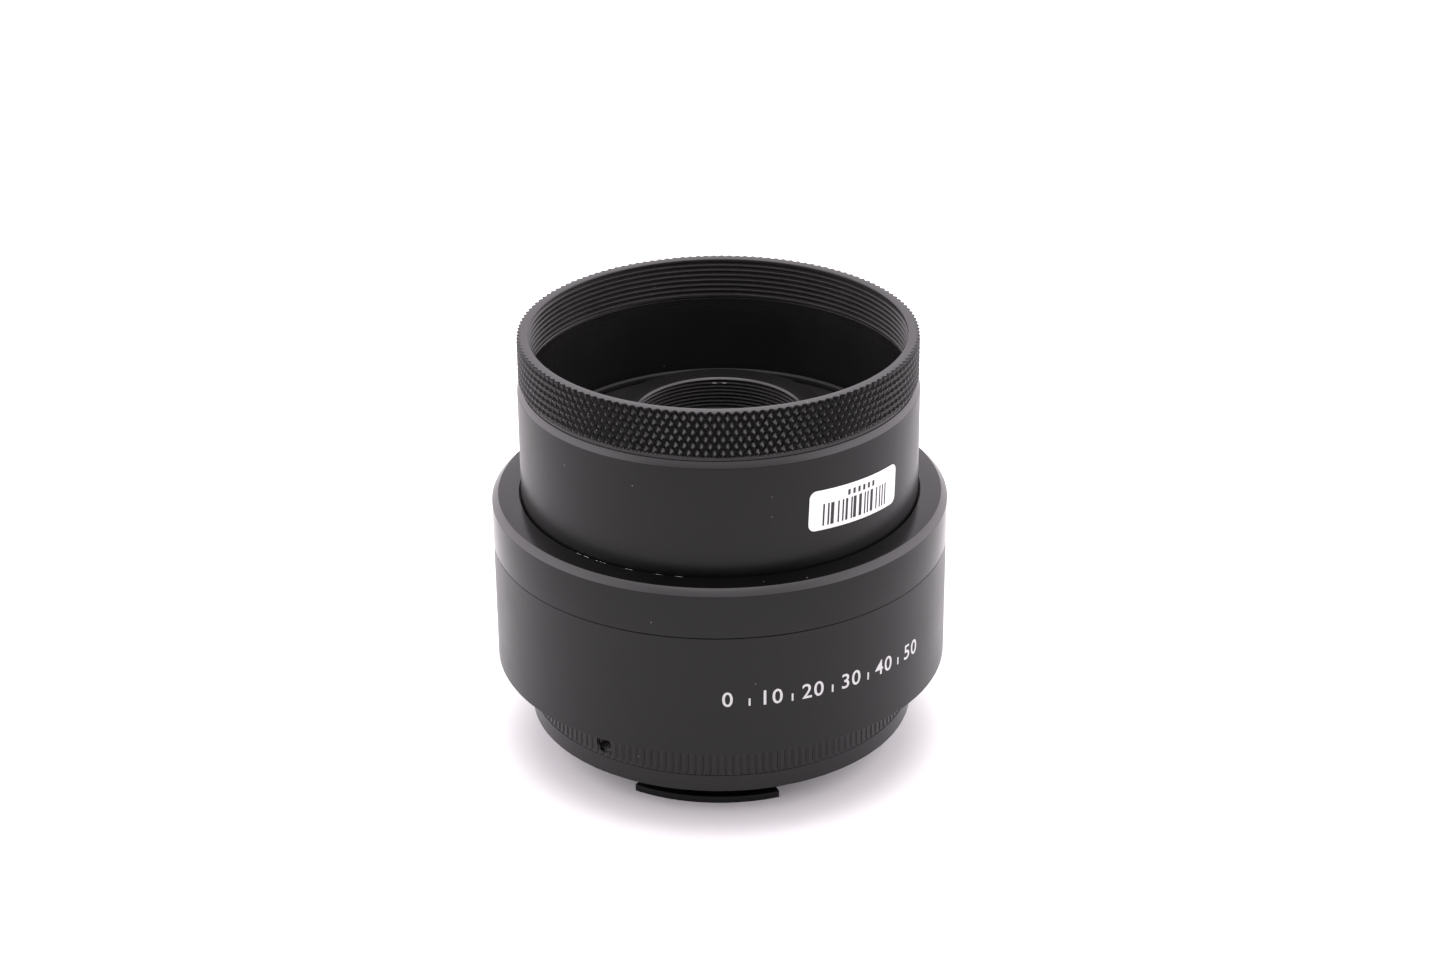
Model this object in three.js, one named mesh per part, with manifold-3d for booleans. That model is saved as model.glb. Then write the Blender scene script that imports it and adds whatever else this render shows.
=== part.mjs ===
// Helical-focus negative lens unit for a camera: a keyed lens carrier is moved along
// the optical axis by a turning barrel, and a ring with a bayonet clamps on the rear.
// Millimetres, +Z along the optical axis towards the sky, z = 0 under the bayonet lugs.
import * as THREE from "three";
import { mergeVertices } from "three/addons/utils/BufferGeometryUtils.js";
import Module from "manifold-3d";

// Roundness of large and small turned pieces, and of pins and screws.
const WIDE_SEGMENTS = 60;
const NARROW_SEGMENTS = 36;
const PIN_SEGMENTS = 12;

// Gaps between pieces that are fixed together, and between pieces that run on each other.
const SEAT_GAP = 0.05;
const FIT_GAP = 0.15;
const RUN_GAP = 0.2;

// Housing: a cup with a threaded stub under it and a spigot on top.
const BODY_R = 37.2;
const BODY_BOTTOM = 15.3;
const BODY_TOP = 36.08;
const FLOOR_TOP = 19.3;
const SPIGOT_R = 36.1;
const SPIGOT_TOP = 41.4;
const BODY_BORE_R = 35.05;
const STUB_R = 20.8;
const STUB_BORE_R = 18.8;
const STUB_BOTTOM = 6.8;

// Retaining collar, screwed over the spigot.
const COLLAR_TOP = 44.33;
const COLLAR_CHAMFER = 1.05;
const COLLAR_LID = 1.6;
const COLLAR_HOLE_R = 32.75;

// Helicoid nut and the felt ring between it and the collar.
const NUT_R = 34.9;
const NUT_BORE_R = 33.9;
const NUT_TOP = 41.5;
const FELT_BORE_R = 32.6;

// Focus barrel.
const BARREL_R = 32.4;
const BARREL_BORE_R = 30.5;
const BARREL_BOTTOM = 28.8;
const BARREL_TOP = 63.61;
const BARREL_CHAMFER_R = 31.7;
const BARREL_CHAMFER_Z = 62.63;
const HELICOID_R = 33.7;
const HELICOID_TOP = 38.3;
const LIP_R = 28.5;
const LIP_BOTTOM = 45;
const REBATE_R = 31.1;
const REBATE_BOTTOM = 62.3;

// Knurled ring at the mouth of the barrel.
const KNURL_R = 32.2;
const KNURL_BOTTOM = 64.6;
const RIM_TOP = 71.88;
const RIM_CHAMFER = 0.35;
const MOUTH_R = 30.31;
const MOUTH_CHAMFER = 0.4;

// Lens carrier: a disc with a keyed sleeve under it.
const DISC_R = 30.3;
const DISC_BOTTOM = 47;
const DISC_TOP = 51;
const DISC_HOLE_R = 16.1;
const SLEEVE_R = 24.2;
const SLEEVE_BORE_R = 22;
const SLEEVE_BOTTOM = 29.6;
const RETAINER_BORE_R = 29;
const RETAINER_HEIGHT = 1;

// Guide sleeve on the housing floor, with slots for the carrier's keys.
const GUIDE_R = 26.6;
const GUIDE_BORE_R = 24.4;
const GUIDE_TOP = 37.5;
const GUIDE_FLANGE_R = 29.8;
const GUIDE_FLANGE = 2;
const SLOT_WIDTH = 2.6;
const SLOT_BOTTOM = 21.8;
const KEY_R = 1.1;
const KEY_Z = 32;
const KEY_REACH = 26.3;
const KEY_ANGLES = [30, 150, 270];

// Threaded adapter in the middle of the disc, and the ring that locks it from below.
const ADAPTER_R = 17.44;
const ADAPTER_TOP = 57.4;
const ADAPTER_HOLE_R = 13.5;
const ADAPTER_SPIGOT_R = 16;
const ADAPTER_BOTTOM = 44.5;
const ADAPTER_CHAMFER = 0.3;
const LOCK_RING_R = 19.5;
const LOCK_RING_HEIGHT = 2;

// Lens cell, screwed into the adapter from below.
const CELL_R = 15;
const CELL_BOTTOM = 27.8;
const CELL_SPIGOT_R = 13.35;
const CELL_TOP = 50;
const CELL_BORE_R = 11.6;
const CELL_POCKET_R = 12.7;
const CELL_SEAT_Z = 37.95;
const LENS_R = 12.5;
const LENS_EDGE_TOP = 37.85;
const LENS_EDGE_BOTTOM = 33.05;
const LENS_BACK = 31.5;
const LENS_CEMENT = 0.08;
const OUTER_CURVE = 60;
const INNER_CURVE = 45;
const LENS_STEPS = 5;
const CELL_RING_R = 12.6;
const CELL_RING_BORE_R = 11.4;
const CELL_RING_HEIGHT = 1.8;
const BAFFLE_BORE_R = 9.5;
const BAFFLE_HEIGHT = 1;

// Rear mount: an inner ring on the housing stub, and the outer ring clamped round it.
const INNER_RING_R = 26;
const INNER_RING_BORE_R = 21;
const INNER_RING_TOP = 15.1;
const GROOVE_R = 24.8;
const GROOVE_FLAT = 0.8;
const GROOVE_OPEN = 3.2;
const MOUNT_R = 31.74;
const GRIP_R = 31.5;
const MOUNT_BOTTOM = 5.28;
const MOUNT_BAND_TOP = 8.15;
const MOUNT_TOP = 14.8;
const MOUNT_CHAMFER = 0.45;
const SET_SCREW_Z = 10.4;
const SET_SCREW_R = 1.3;
const SET_SCREW_ANGLES = [-126.8, -6.8, 113.2];
const SET_SCREW_OUTER = 30.7;
const SET_SCREW_TIP = 25.1;
const SET_SCREW_TIP_R = 0.35;

// Bayonet, screwed into the recess under the outer ring.
const THROAT_R = 25.3;
const THROAT_BORE_R = 22.5;
const THROAT_BOTTOM = 1;
const BAYONET_FLANGE_R = 30.2;
const BAYONET_FLANGE_TOP = 7;
const LUG_R = 26.8;
const LUG_BORE_R = 23;
const LUG_HEIGHT = 1.3;
const LUG_SPAN = 52;
const LUG_ANGLES = [-95.8, 24.2, 144.2];
const BAYONET_SCREW_PLACE_R = 28.3;
const BAYONET_SCREW_ANGLES = [39.2, 129.2, 219.2, 309.2];

// Small cap screws, used in the bayonet and in the guide sleeve.
const SCREW_SHANK_R = 0.75;
const SCREW_HOLE_R = 0.9;
const BAYONET_HEAD_R = 1.3;
const BAYONET_HEAD_HEIGHT = 0.95;
const BAYONET_SHANK_TOP = 9.8;
const GUIDE_HEAD_R = 1.4;
const GUIDE_HEAD_HEIGHT = 1;
const GUIDE_SHANK_BOTTOM = 17.2;
const GUIDE_SCREW_PLACE_R = 28.2;
const GUIDE_SCREW_ANGLES = [90, 210, 330];

// Stock label stuck on the barrel.
const LABEL_WIDTH = 18.9;
const LABEL_HEIGHT = 6.85;
const LABEL_THICKNESS = 0.1;
const LABEL_STANDOFF = 0.03;
const LABEL_ANGLE = -48.5;
const LABEL_Z = 53.33;
const LABEL_TILT = -2.6;
const LABEL_STEPS = 8;

const DEGREE = Math.PI / 180;

const wasm = await Module();
wasm.setup();

// A solid turned about Z. The outline is a list of [radius, z] corners that runs up the
// outside and down the inside; one that begins on the axis also ends on it.
function revolve(outline, segments) {
  const points = outline.map(([radius, z]) => new THREE.Vector2(radius, z));
  if (outline[0][0] > 0) {
    points.push(points[0].clone());
  }
  const geometry = new THREE.LatheGeometry(points, segments);
  return geometry.rotateX(Math.PI / 2);
}

// A plain ring between two radii and two heights.
function ring(bore, outer, bottom, top, segments) {
  return revolve([[bore, bottom], [outer, bottom], [outer, top], [bore, top]], segments);
}

// A round bar on the Z axis.
function bar(radius, bottom, top) {
  const geometry = new THREE.CylinderGeometry(radius, radius, top - bottom, PIN_SEGMENTS);
  return geometry.rotateX(Math.PI / 2).translate(0, 0, (bottom + top) / 2);
}

function toSolid(geometry) {
  const bare = geometry.clone();
  bare.deleteAttribute("normal");
  bare.deleteAttribute("uv");
  const merged = mergeVertices(bare);
  const mesh = new wasm.Mesh({
    numProp: 3,
    vertProperties: new Float32Array(merged.attributes.position.array),
    triVerts: new Uint32Array(merged.index.array),
  });
  return new wasm.Manifold(mesh);
}

function toGeometry(solid) {
  const mesh = solid.getMesh();
  const geometry = new THREE.BufferGeometry();
  geometry.setAttribute("position", new THREE.BufferAttribute(mesh.vertProperties, 3));
  geometry.setIndex(new THREE.BufferAttribute(mesh.triVerts, 1));
  return geometry;
}

function cut(geometry, cutters) {
  const solid = cutters.reduce((rest, cutter) => rest.subtract(toSolid(cutter)), toSolid(geometry));
  return toGeometry(solid);
}

function join(geometry, additions) {
  const solid = additions.reduce((whole, piece) => whole.add(toSolid(piece)), toSolid(geometry));
  return toGeometry(solid);
}

// One copy of a shape at each angle, moved out along a radius and turned about Z.
function copies(angles, radius, makeShape) {
  return angles.map((angle) => makeShape().translate(radius, 0, 0).rotateZ(angle * DEGREE));
}

function surface(color, roughness, metalness) {
  return new THREE.MeshStandardMaterial({ color, roughness, metalness });
}

const BLACK = () => surface(0x1b1b1e, 0.38, 0.6);
const MATT_BLACK = () => surface(0x0d0d0e, 0.75, 0.6);
const SCREW_BLACK = () => surface(0x222224, 0.35, 0.9);
const BRASS = () => surface(0xb5924c, 0.35, 1);
const FELT = () => surface(0x0b0b0b, 1, 0);
const GLASS = () => surface(0x9fb8b0, 0.03, 0);
const PAPER = () => surface(0xe9e9e6, 0.6, 0);

const unit = new THREE.Group();
const housing = new THREE.Group();
const carrier = new THREE.Group();
const barrel = new THREE.Group();
const mount = new THREE.Group();
unit.add(housing, carrier, barrel, mount);

function addPiece(group, name, geometry, material) {
  const mesh = new THREE.Mesh(geometry, material);
  mesh.name = name;
  group.add(mesh);
  return mesh;
}

// Repeated pieces, numbered from 1, each at its own angle about Z.
function addRound(group, name, angles, radius, makeShape, makeMaterial) {
  angles.forEach((angle, index) => {
    const mesh = addPiece(group, `${name}_${index + 1}`, makeShape(), makeMaterial());
    mesh.position.set(radius * Math.cos(angle * DEGREE), radius * Math.sin(angle * DEGREE), 0);
    mesh.rotation.z = angle * DEGREE;
  });
}

function makeHousingBody() {
  const cup = revolve([
    [STUB_R, STUB_BOTTOM],
    [STUB_R, BODY_BOTTOM],
    [BODY_R, BODY_BOTTOM],
    [BODY_R, BODY_TOP],
    [SPIGOT_R, BODY_TOP],
    [SPIGOT_R, SPIGOT_TOP],
    [BODY_BORE_R, SPIGOT_TOP],
    [BODY_BORE_R, FLOOR_TOP],
    [STUB_BORE_R, FLOOR_TOP],
    [STUB_BORE_R, STUB_BOTTOM],
  ], WIDE_SEGMENTS);
  const drill = () => bar(SCREW_HOLE_R, GUIDE_SHANK_BOTTOM - FIT_GAP, FLOOR_TOP + 1);
  return cut(cup, copies(GUIDE_SCREW_ANGLES, GUIDE_SCREW_PLACE_R, drill));
}

function makeCollar() {
  return revolve([
    [BODY_R, BODY_TOP + SEAT_GAP],
    [BODY_R, COLLAR_TOP - COLLAR_CHAMFER],
    [BODY_R - COLLAR_CHAMFER, COLLAR_TOP],
    [COLLAR_HOLE_R, COLLAR_TOP],
    [COLLAR_HOLE_R, COLLAR_TOP - COLLAR_LID],
    [SPIGOT_R + FIT_GAP, COLLAR_TOP - COLLAR_LID],
    [SPIGOT_R + FIT_GAP, BODY_TOP + SEAT_GAP],
  ], WIDE_SEGMENTS);
}

function makeGuideSleeve() {
  const base = FLOOR_TOP + SEAT_GAP;
  const sleeve = revolve([
    [GUIDE_FLANGE_R, base],
    [GUIDE_FLANGE_R, base + GUIDE_FLANGE],
    [GUIDE_R, base + GUIDE_FLANGE],
    [GUIDE_R, GUIDE_TOP],
    [GUIDE_BORE_R, GUIDE_TOP],
    [GUIDE_BORE_R, base],
  ], NARROW_SEGMENTS);
  const slotHeight = GUIDE_TOP - SLOT_BOTTOM + 1;
  const slotDepth = GUIDE_FLANGE_R - GUIDE_BORE_R;
  const slot = () => new THREE.BoxGeometry(slotDepth, SLOT_WIDTH, slotHeight)
    .translate(0, 0, SLOT_BOTTOM + slotHeight / 2);
  const drill = () => bar(SCREW_HOLE_R, base - 1, base + GUIDE_FLANGE + 1);
  return cut(sleeve, [
    ...copies(KEY_ANGLES, (GUIDE_BORE_R + GUIDE_R) / 2, slot),
    ...copies(GUIDE_SCREW_ANGLES, GUIDE_SCREW_PLACE_R, drill),
  ]);
}

// A cap screw along Z with a hexagon socket, its head on the side that faces the tool.
function makeCapScrew(headR, headOuter, headInner, shankEnd) {
  const shank = bar(SCREW_SHANK_R, Math.min(headInner, shankEnd), Math.max(headInner, shankEnd));
  const head = bar(headR, Math.min(headOuter, headInner), Math.max(headOuter, headInner));
  const socket = new THREE.CylinderGeometry(headR / 2, headR / 2, Math.abs(headInner - headOuter), 6)
    .rotateX(Math.PI / 2)
    .translate(0, 0, headOuter);
  return cut(join(head, [shank]), [socket]);
}

function makeGuideScrew() {
  const underHead = FLOOR_TOP + GUIDE_FLANGE + 2 * SEAT_GAP;
  return makeCapScrew(GUIDE_HEAD_R, underHead + GUIDE_HEAD_HEIGHT, underHead, GUIDE_SHANK_BOTTOM);
}

function makeInnerRing() {
  return revolve([
    [INNER_RING_R, BAYONET_FLANGE_TOP + FIT_GAP],
    [INNER_RING_R, SET_SCREW_Z - GROOVE_OPEN / 2],
    [GROOVE_R, SET_SCREW_Z - GROOVE_FLAT / 2],
    [GROOVE_R, SET_SCREW_Z + GROOVE_FLAT / 2],
    [INNER_RING_R, SET_SCREW_Z + GROOVE_OPEN / 2],
    [INNER_RING_R, INNER_RING_TOP],
    [INNER_RING_BORE_R, INNER_RING_TOP],
    [INNER_RING_BORE_R, BAYONET_FLANGE_TOP + FIT_GAP],
  ], NARROW_SEGMENTS);
}

function makeLensCarrier() {
  const turned = revolve([
    [SLEEVE_R, SLEEVE_BOTTOM],
    [SLEEVE_R, DISC_BOTTOM],
    [DISC_R, DISC_BOTTOM],
    [DISC_R, DISC_TOP],
    [DISC_HOLE_R, DISC_TOP],
    [DISC_HOLE_R, DISC_BOTTOM],
    [SLEEVE_BORE_R, DISC_BOTTOM],
    [SLEEVE_BORE_R, SLEEVE_BOTTOM],
  ], WIDE_SEGMENTS);
  const drill = () => bar(KEY_R + FIT_GAP, -SLEEVE_R, SLEEVE_R)
    .rotateY(Math.PI / 2)
    .translate(0, 0, KEY_Z);
  return cut(turned, copies(KEY_ANGLES, SLEEVE_R, drill));
}

// A round key along X, with its middle on the Z axis.
function makeGuideKey() {
  const half = (KEY_REACH - SLEEVE_BORE_R) / 2;
  return bar(KEY_R, -half, half).rotateY(Math.PI / 2).translate(0, 0, KEY_Z);
}

function makeThreadAdapter() {
  return revolve([
    [ADAPTER_SPIGOT_R, ADAPTER_BOTTOM],
    [ADAPTER_SPIGOT_R, DISC_TOP + SEAT_GAP],
    [ADAPTER_R, DISC_TOP + SEAT_GAP],
    [ADAPTER_R, ADAPTER_TOP - ADAPTER_CHAMFER],
    [ADAPTER_R - ADAPTER_CHAMFER, ADAPTER_TOP],
    [ADAPTER_HOLE_R + ADAPTER_CHAMFER, ADAPTER_TOP],
    [ADAPTER_HOLE_R, ADAPTER_TOP - ADAPTER_CHAMFER],
    [ADAPTER_HOLE_R, ADAPTER_BOTTOM],
  ], NARROW_SEGMENTS);
}

function makeLockRing() {
  const top = DISC_BOTTOM - SEAT_GAP;
  return ring(ADAPTER_SPIGOT_R + FIT_GAP, LOCK_RING_R, top - LOCK_RING_HEIGHT, top, NARROW_SEGMENTS);
}

function makeCellBody() {
  return revolve([
    [CELL_R, CELL_BOTTOM],
    [CELL_R, ADAPTER_BOTTOM - SEAT_GAP],
    [CELL_SPIGOT_R, ADAPTER_BOTTOM - SEAT_GAP],
    [CELL_SPIGOT_R, CELL_TOP],
    [CELL_BORE_R, CELL_TOP],
    [CELL_BORE_R, CELL_SEAT_Z],
    [CELL_POCKET_R, CELL_SEAT_Z],
    [CELL_POCKET_R, CELL_BOTTOM],
  ], NARROW_SEGMENTS);
}

function sag(radius, curve) {
  return curve - Math.sqrt(curve * curve - radius * radius);
}

// Points of a spherical face from the axis to the lens edge, bowed up or down from its edge.
function lensFace(edgeZ, curve, bow) {
  const face = [];
  for (let step = 0; step <= LENS_STEPS; step += 1) {
    const radius = LENS_R * step / LENS_STEPS;
    face.push([radius, edgeZ + bow * (sag(LENS_R, curve) - sag(radius, curve))]);
  }
  return face;
}

function makeNegativeLens() {
  const lower = lensFace(LENS_EDGE_BOTTOM, INNER_CURVE, 1);
  const upper = lensFace(LENS_EDGE_TOP, OUTER_CURVE, -1);
  return revolve([...lower, ...upper.reverse()], NARROW_SEGMENTS);
}

function makePositiveLens() {
  const upper = lensFace(LENS_EDGE_BOTTOM - LENS_CEMENT, INNER_CURVE, 1);
  return revolve([[0, LENS_BACK], [LENS_R, LENS_BACK], ...upper.reverse()], NARROW_SEGMENTS);
}

function makeCellRing() {
  const top = LENS_BACK - SEAT_GAP;
  const turned = ring(CELL_RING_BORE_R, CELL_RING_R, top - CELL_RING_HEIGHT, top, NARROW_SEGMENTS);
  const notch = new THREE.BoxGeometry(4 * CELL_RING_R, 1.2, CELL_RING_HEIGHT)
    .translate(0, 0, top - CELL_RING_HEIGHT);
  return cut(turned, [notch]);
}

function makeBaffle() {
  const top = LENS_BACK - 2 * SEAT_GAP - CELL_RING_HEIGHT;
  return ring(BAFFLE_BORE_R, CELL_RING_R, top - BAFFLE_HEIGHT, top, NARROW_SEGMENTS);
}

function makeFocusBarrel() {
  return revolve([
    [HELICOID_R, BARREL_BOTTOM],
    [HELICOID_R, HELICOID_TOP],
    [BARREL_R, HELICOID_TOP],
    [BARREL_R, BARREL_CHAMFER_Z],
    [BARREL_CHAMFER_R, BARREL_TOP],
    [REBATE_R, BARREL_TOP],
    [REBATE_R, REBATE_BOTTOM],
    [BARREL_BORE_R, REBATE_BOTTOM],
    [BARREL_BORE_R, DISC_BOTTOM - FIT_GAP],
    [LIP_R, DISC_BOTTOM - FIT_GAP],
    [LIP_R, LIP_BOTTOM],
    [BARREL_BORE_R, LIP_BOTTOM],
    [BARREL_BORE_R, BARREL_BOTTOM],
  ], WIDE_SEGMENTS);
}

function makeFrontRing() {
  return revolve([
    [REBATE_R - FIT_GAP, REBATE_BOTTOM + SEAT_GAP],
    [REBATE_R - FIT_GAP, KNURL_BOTTOM],
    [KNURL_R, KNURL_BOTTOM],
    [KNURL_R, RIM_TOP - RIM_CHAMFER],
    [KNURL_R - RIM_CHAMFER, RIM_TOP],
    [MOUTH_R + MOUTH_CHAMFER, RIM_TOP],
    [MOUTH_R, RIM_TOP - MOUTH_CHAMFER],
    [MOUTH_R, KNURL_BOTTOM],
    [BARREL_BORE_R, KNURL_BOTTOM],
    [BARREL_BORE_R, REBATE_BOTTOM + SEAT_GAP],
  ], WIDE_SEGMENTS);
}

function makeCarrierRetainer() {
  const bottom = DISC_TOP + FIT_GAP;
  return ring(RETAINER_BORE_R, BARREL_BORE_R - FIT_GAP, bottom, bottom + RETAINER_HEIGHT, WIDE_SEGMENTS);
}

// A thin flat label, tilted a little and then wrapped round the barrel.
function makeLabel() {
  const geometry = new THREE.BoxGeometry(LABEL_WIDTH, LABEL_HEIGHT, LABEL_THICKNESS, LABEL_STEPS);
  geometry.rotateZ(LABEL_TILT * DEGREE);
  const places = geometry.attributes.position;
  for (let index = 0; index < places.count; index += 1) {
    const angle = LABEL_ANGLE * DEGREE + places.getX(index) / BARREL_R;
    const radius = BARREL_R + LABEL_STANDOFF + LABEL_THICKNESS / 2 + places.getZ(index);
    const height = LABEL_Z + places.getY(index);
    places.setXYZ(index, radius * Math.cos(angle), radius * Math.sin(angle), height);
  }
  return geometry;
}

function makeMountRing() {
  const turned = revolve([
    [MOUNT_R, MOUNT_BOTTOM],
    [MOUNT_R, MOUNT_BAND_TOP],
    [GRIP_R, MOUNT_BAND_TOP],
    [GRIP_R, MOUNT_TOP - MOUNT_CHAMFER],
    [GRIP_R - MOUNT_CHAMFER, MOUNT_TOP],
    [INNER_RING_R + RUN_GAP, MOUNT_TOP],
    [INNER_RING_R + RUN_GAP, BAYONET_FLANGE_TOP + SEAT_GAP],
    [BAYONET_FLANGE_R + FIT_GAP, BAYONET_FLANGE_TOP + SEAT_GAP],
    [BAYONET_FLANGE_R + FIT_GAP, MOUNT_BOTTOM],
  ], WIDE_SEGMENTS);
  const sideDrill = () => bar(SET_SCREW_R + RUN_GAP, INNER_RING_BORE_R, MOUNT_R + 1)
    .rotateY(Math.PI / 2)
    .translate(0, 0, SET_SCREW_Z);
  const screwDrill = () => bar(SCREW_HOLE_R, BAYONET_FLANGE_TOP - 1, BAYONET_SHANK_TOP + FIT_GAP);
  return cut(turned, [
    ...copies(SET_SCREW_ANGLES, 0, sideDrill),
    ...copies(BAYONET_SCREW_ANGLES, BAYONET_SCREW_PLACE_R, screwDrill),
  ]);
}

function makeLug() {
  const half = LUG_SPAN / 2 * DEGREE;
  const sector = new THREE.Shape();
  sector.absarc(0, 0, LUG_R, -half, half, false);
  sector.absarc(0, 0, LUG_BORE_R, half, -half, true);
  return new THREE.ExtrudeGeometry(sector, { depth: LUG_HEIGHT, bevelEnabled: false, curveSegments: 8 });
}

function makeBayonet() {
  const turned = revolve([
    [THROAT_R, THROAT_BOTTOM],
    [THROAT_R, MOUNT_BOTTOM],
    [BAYONET_FLANGE_R, MOUNT_BOTTOM],
    [BAYONET_FLANGE_R, BAYONET_FLANGE_TOP],
    [THROAT_BORE_R, BAYONET_FLANGE_TOP],
    [THROAT_BORE_R, THROAT_BOTTOM],
  ], NARROW_SEGMENTS);
  const whole = join(turned, copies(LUG_ANGLES, 0, makeLug));
  const headSeat = MOUNT_BOTTOM + FIT_GAP + BAYONET_HEAD_HEIGHT;
  const sink = () => bar(BAYONET_HEAD_R + FIT_GAP, MOUNT_BOTTOM - 1, headSeat);
  const drill = () => bar(SCREW_HOLE_R, MOUNT_BOTTOM, BAYONET_FLANGE_TOP + 1);
  return cut(whole, [
    ...copies(BAYONET_SCREW_ANGLES, BAYONET_SCREW_PLACE_R, sink),
    ...copies(BAYONET_SCREW_ANGLES, BAYONET_SCREW_PLACE_R, drill),
  ]);
}

function makeBayonetScrew() {
  const headFace = MOUNT_BOTTOM + FIT_GAP - SEAT_GAP;
  return makeCapScrew(BAYONET_HEAD_R, headFace, headFace + BAYONET_HEAD_HEIGHT, BAYONET_SHANK_TOP);
}

// A cone-point set screw along X, at its true distance from the Z axis.
function makeSetScrew() {
  const shoulder = INNER_RING_R + FIT_GAP;
  const turned = revolve([
    [0, SET_SCREW_TIP],
    [SET_SCREW_TIP_R, SET_SCREW_TIP],
    [SET_SCREW_R, shoulder],
    [SET_SCREW_R, SET_SCREW_OUTER],
    [0, SET_SCREW_OUTER],
  ], PIN_SEGMENTS);
  const socket = new THREE.CylinderGeometry(SET_SCREW_R / 2, SET_SCREW_R / 2, 3.2, 6)
    .rotateX(Math.PI / 2)
    .translate(0, 0, SET_SCREW_OUTER);
  return cut(turned, [socket]).rotateY(Math.PI / 2).translate(0, 0, SET_SCREW_Z);
}

addPiece(housing, "housing_body", makeHousingBody(), BLACK());
addPiece(housing, "retaining_collar", makeCollar(), BLACK());
const feltBottom = NUT_TOP + SEAT_GAP;
const feltTop = COLLAR_TOP - COLLAR_LID - SEAT_GAP;
addPiece(housing, "felt_seal", ring(FELT_BORE_R, NUT_R, feltBottom, feltTop, WIDE_SEGMENTS), FELT());
const nutBottom = FLOOR_TOP + SEAT_GAP;
addPiece(housing, "helicoid_nut", ring(NUT_BORE_R, NUT_R, nutBottom, NUT_TOP, WIDE_SEGMENTS), BRASS());
addPiece(housing, "guide_sleeve", makeGuideSleeve(), MATT_BLACK());
const guideScrewPlaces = [GUIDE_SCREW_ANGLES, GUIDE_SCREW_PLACE_R];
addRound(housing, "guide_sleeve_screw", ...guideScrewPlaces, makeGuideScrew, SCREW_BLACK);
addPiece(housing, "t2_inner_ring", makeInnerRing(), BLACK());

addPiece(carrier, "lens_carrier", makeLensCarrier(), MATT_BLACK());
const keyMiddle = (SLEEVE_BORE_R + KEY_REACH) / 2;
addRound(carrier, "guide_key", KEY_ANGLES, keyMiddle, makeGuideKey, BRASS);
addPiece(carrier, "thread_adapter", makeThreadAdapter(), BLACK());
addPiece(carrier, "adapter_lock_ring", makeLockRing(), BLACK());
addPiece(carrier, "cell_body", makeCellBody(), MATT_BLACK());
addPiece(carrier, "lens_negative", makeNegativeLens(), GLASS());
addPiece(carrier, "lens_positive", makePositiveLens(), GLASS());
addPiece(carrier, "cell_retainer", makeCellRing(), MATT_BLACK());
addPiece(carrier, "glare_baffle", makeBaffle(), MATT_BLACK());

addPiece(barrel, "focus_barrel", makeFocusBarrel(), BLACK());
addPiece(barrel, "knurled_front_ring", makeFrontRing(), BLACK());
addPiece(barrel, "carrier_retainer", makeCarrierRetainer(), MATT_BLACK());
addPiece(barrel, "inventory_label", makeLabel(), PAPER());

addPiece(mount, "mount_ring", makeMountRing(), BLACK());
addPiece(mount, "bayonet_ring", makeBayonet(), BLACK());
const bayonetScrewPlaces = [BAYONET_SCREW_ANGLES, BAYONET_SCREW_PLACE_R];
addRound(mount, "bayonet_screw", ...bayonetScrewPlaces, makeBayonetScrew, SCREW_BLACK);
addRound(mount, "set_screw", SET_SCREW_ANGLES, 0, makeSetScrew, SCREW_BLACK);

export default unit;
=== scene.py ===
"""Looks of a helical-focus negative lens unit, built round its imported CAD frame.

Lengths in this script are millimetres, and meshes are scaled to metres when they are made.
Angles are degrees about +Z, from +X; the camera stands at -90.
"""

import math
import random

import bmesh
import bpy
from mathutils import Euler, Matrix, Vector, noise


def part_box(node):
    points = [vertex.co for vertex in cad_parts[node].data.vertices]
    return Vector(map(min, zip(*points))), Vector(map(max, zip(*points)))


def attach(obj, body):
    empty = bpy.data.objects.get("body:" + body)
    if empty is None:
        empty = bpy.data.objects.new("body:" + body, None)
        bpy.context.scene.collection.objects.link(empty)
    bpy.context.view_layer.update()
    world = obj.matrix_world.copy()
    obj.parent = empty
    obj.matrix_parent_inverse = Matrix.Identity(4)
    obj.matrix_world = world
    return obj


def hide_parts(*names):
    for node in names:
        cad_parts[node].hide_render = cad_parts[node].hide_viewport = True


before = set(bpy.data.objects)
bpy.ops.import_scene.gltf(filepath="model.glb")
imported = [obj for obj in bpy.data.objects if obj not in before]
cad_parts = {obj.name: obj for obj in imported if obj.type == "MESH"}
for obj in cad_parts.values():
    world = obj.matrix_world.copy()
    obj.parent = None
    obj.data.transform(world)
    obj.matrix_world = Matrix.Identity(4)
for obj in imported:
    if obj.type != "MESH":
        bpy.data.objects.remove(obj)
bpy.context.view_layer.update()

MM = 0.001
TAU = 2 * math.pi
SHARP_ANGLE = math.radians(14)
WELD = 1e-4
FINE_COLUMNS = 288
SMALL_COLUMNS = 144
EDGE = 0.08


def reach(node):
    """Outer radius, bottom and top of a round CAD node."""
    low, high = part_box(node)
    return high.x / MM, low.z / MM, high.z / MM


# -------- dimensions

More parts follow.
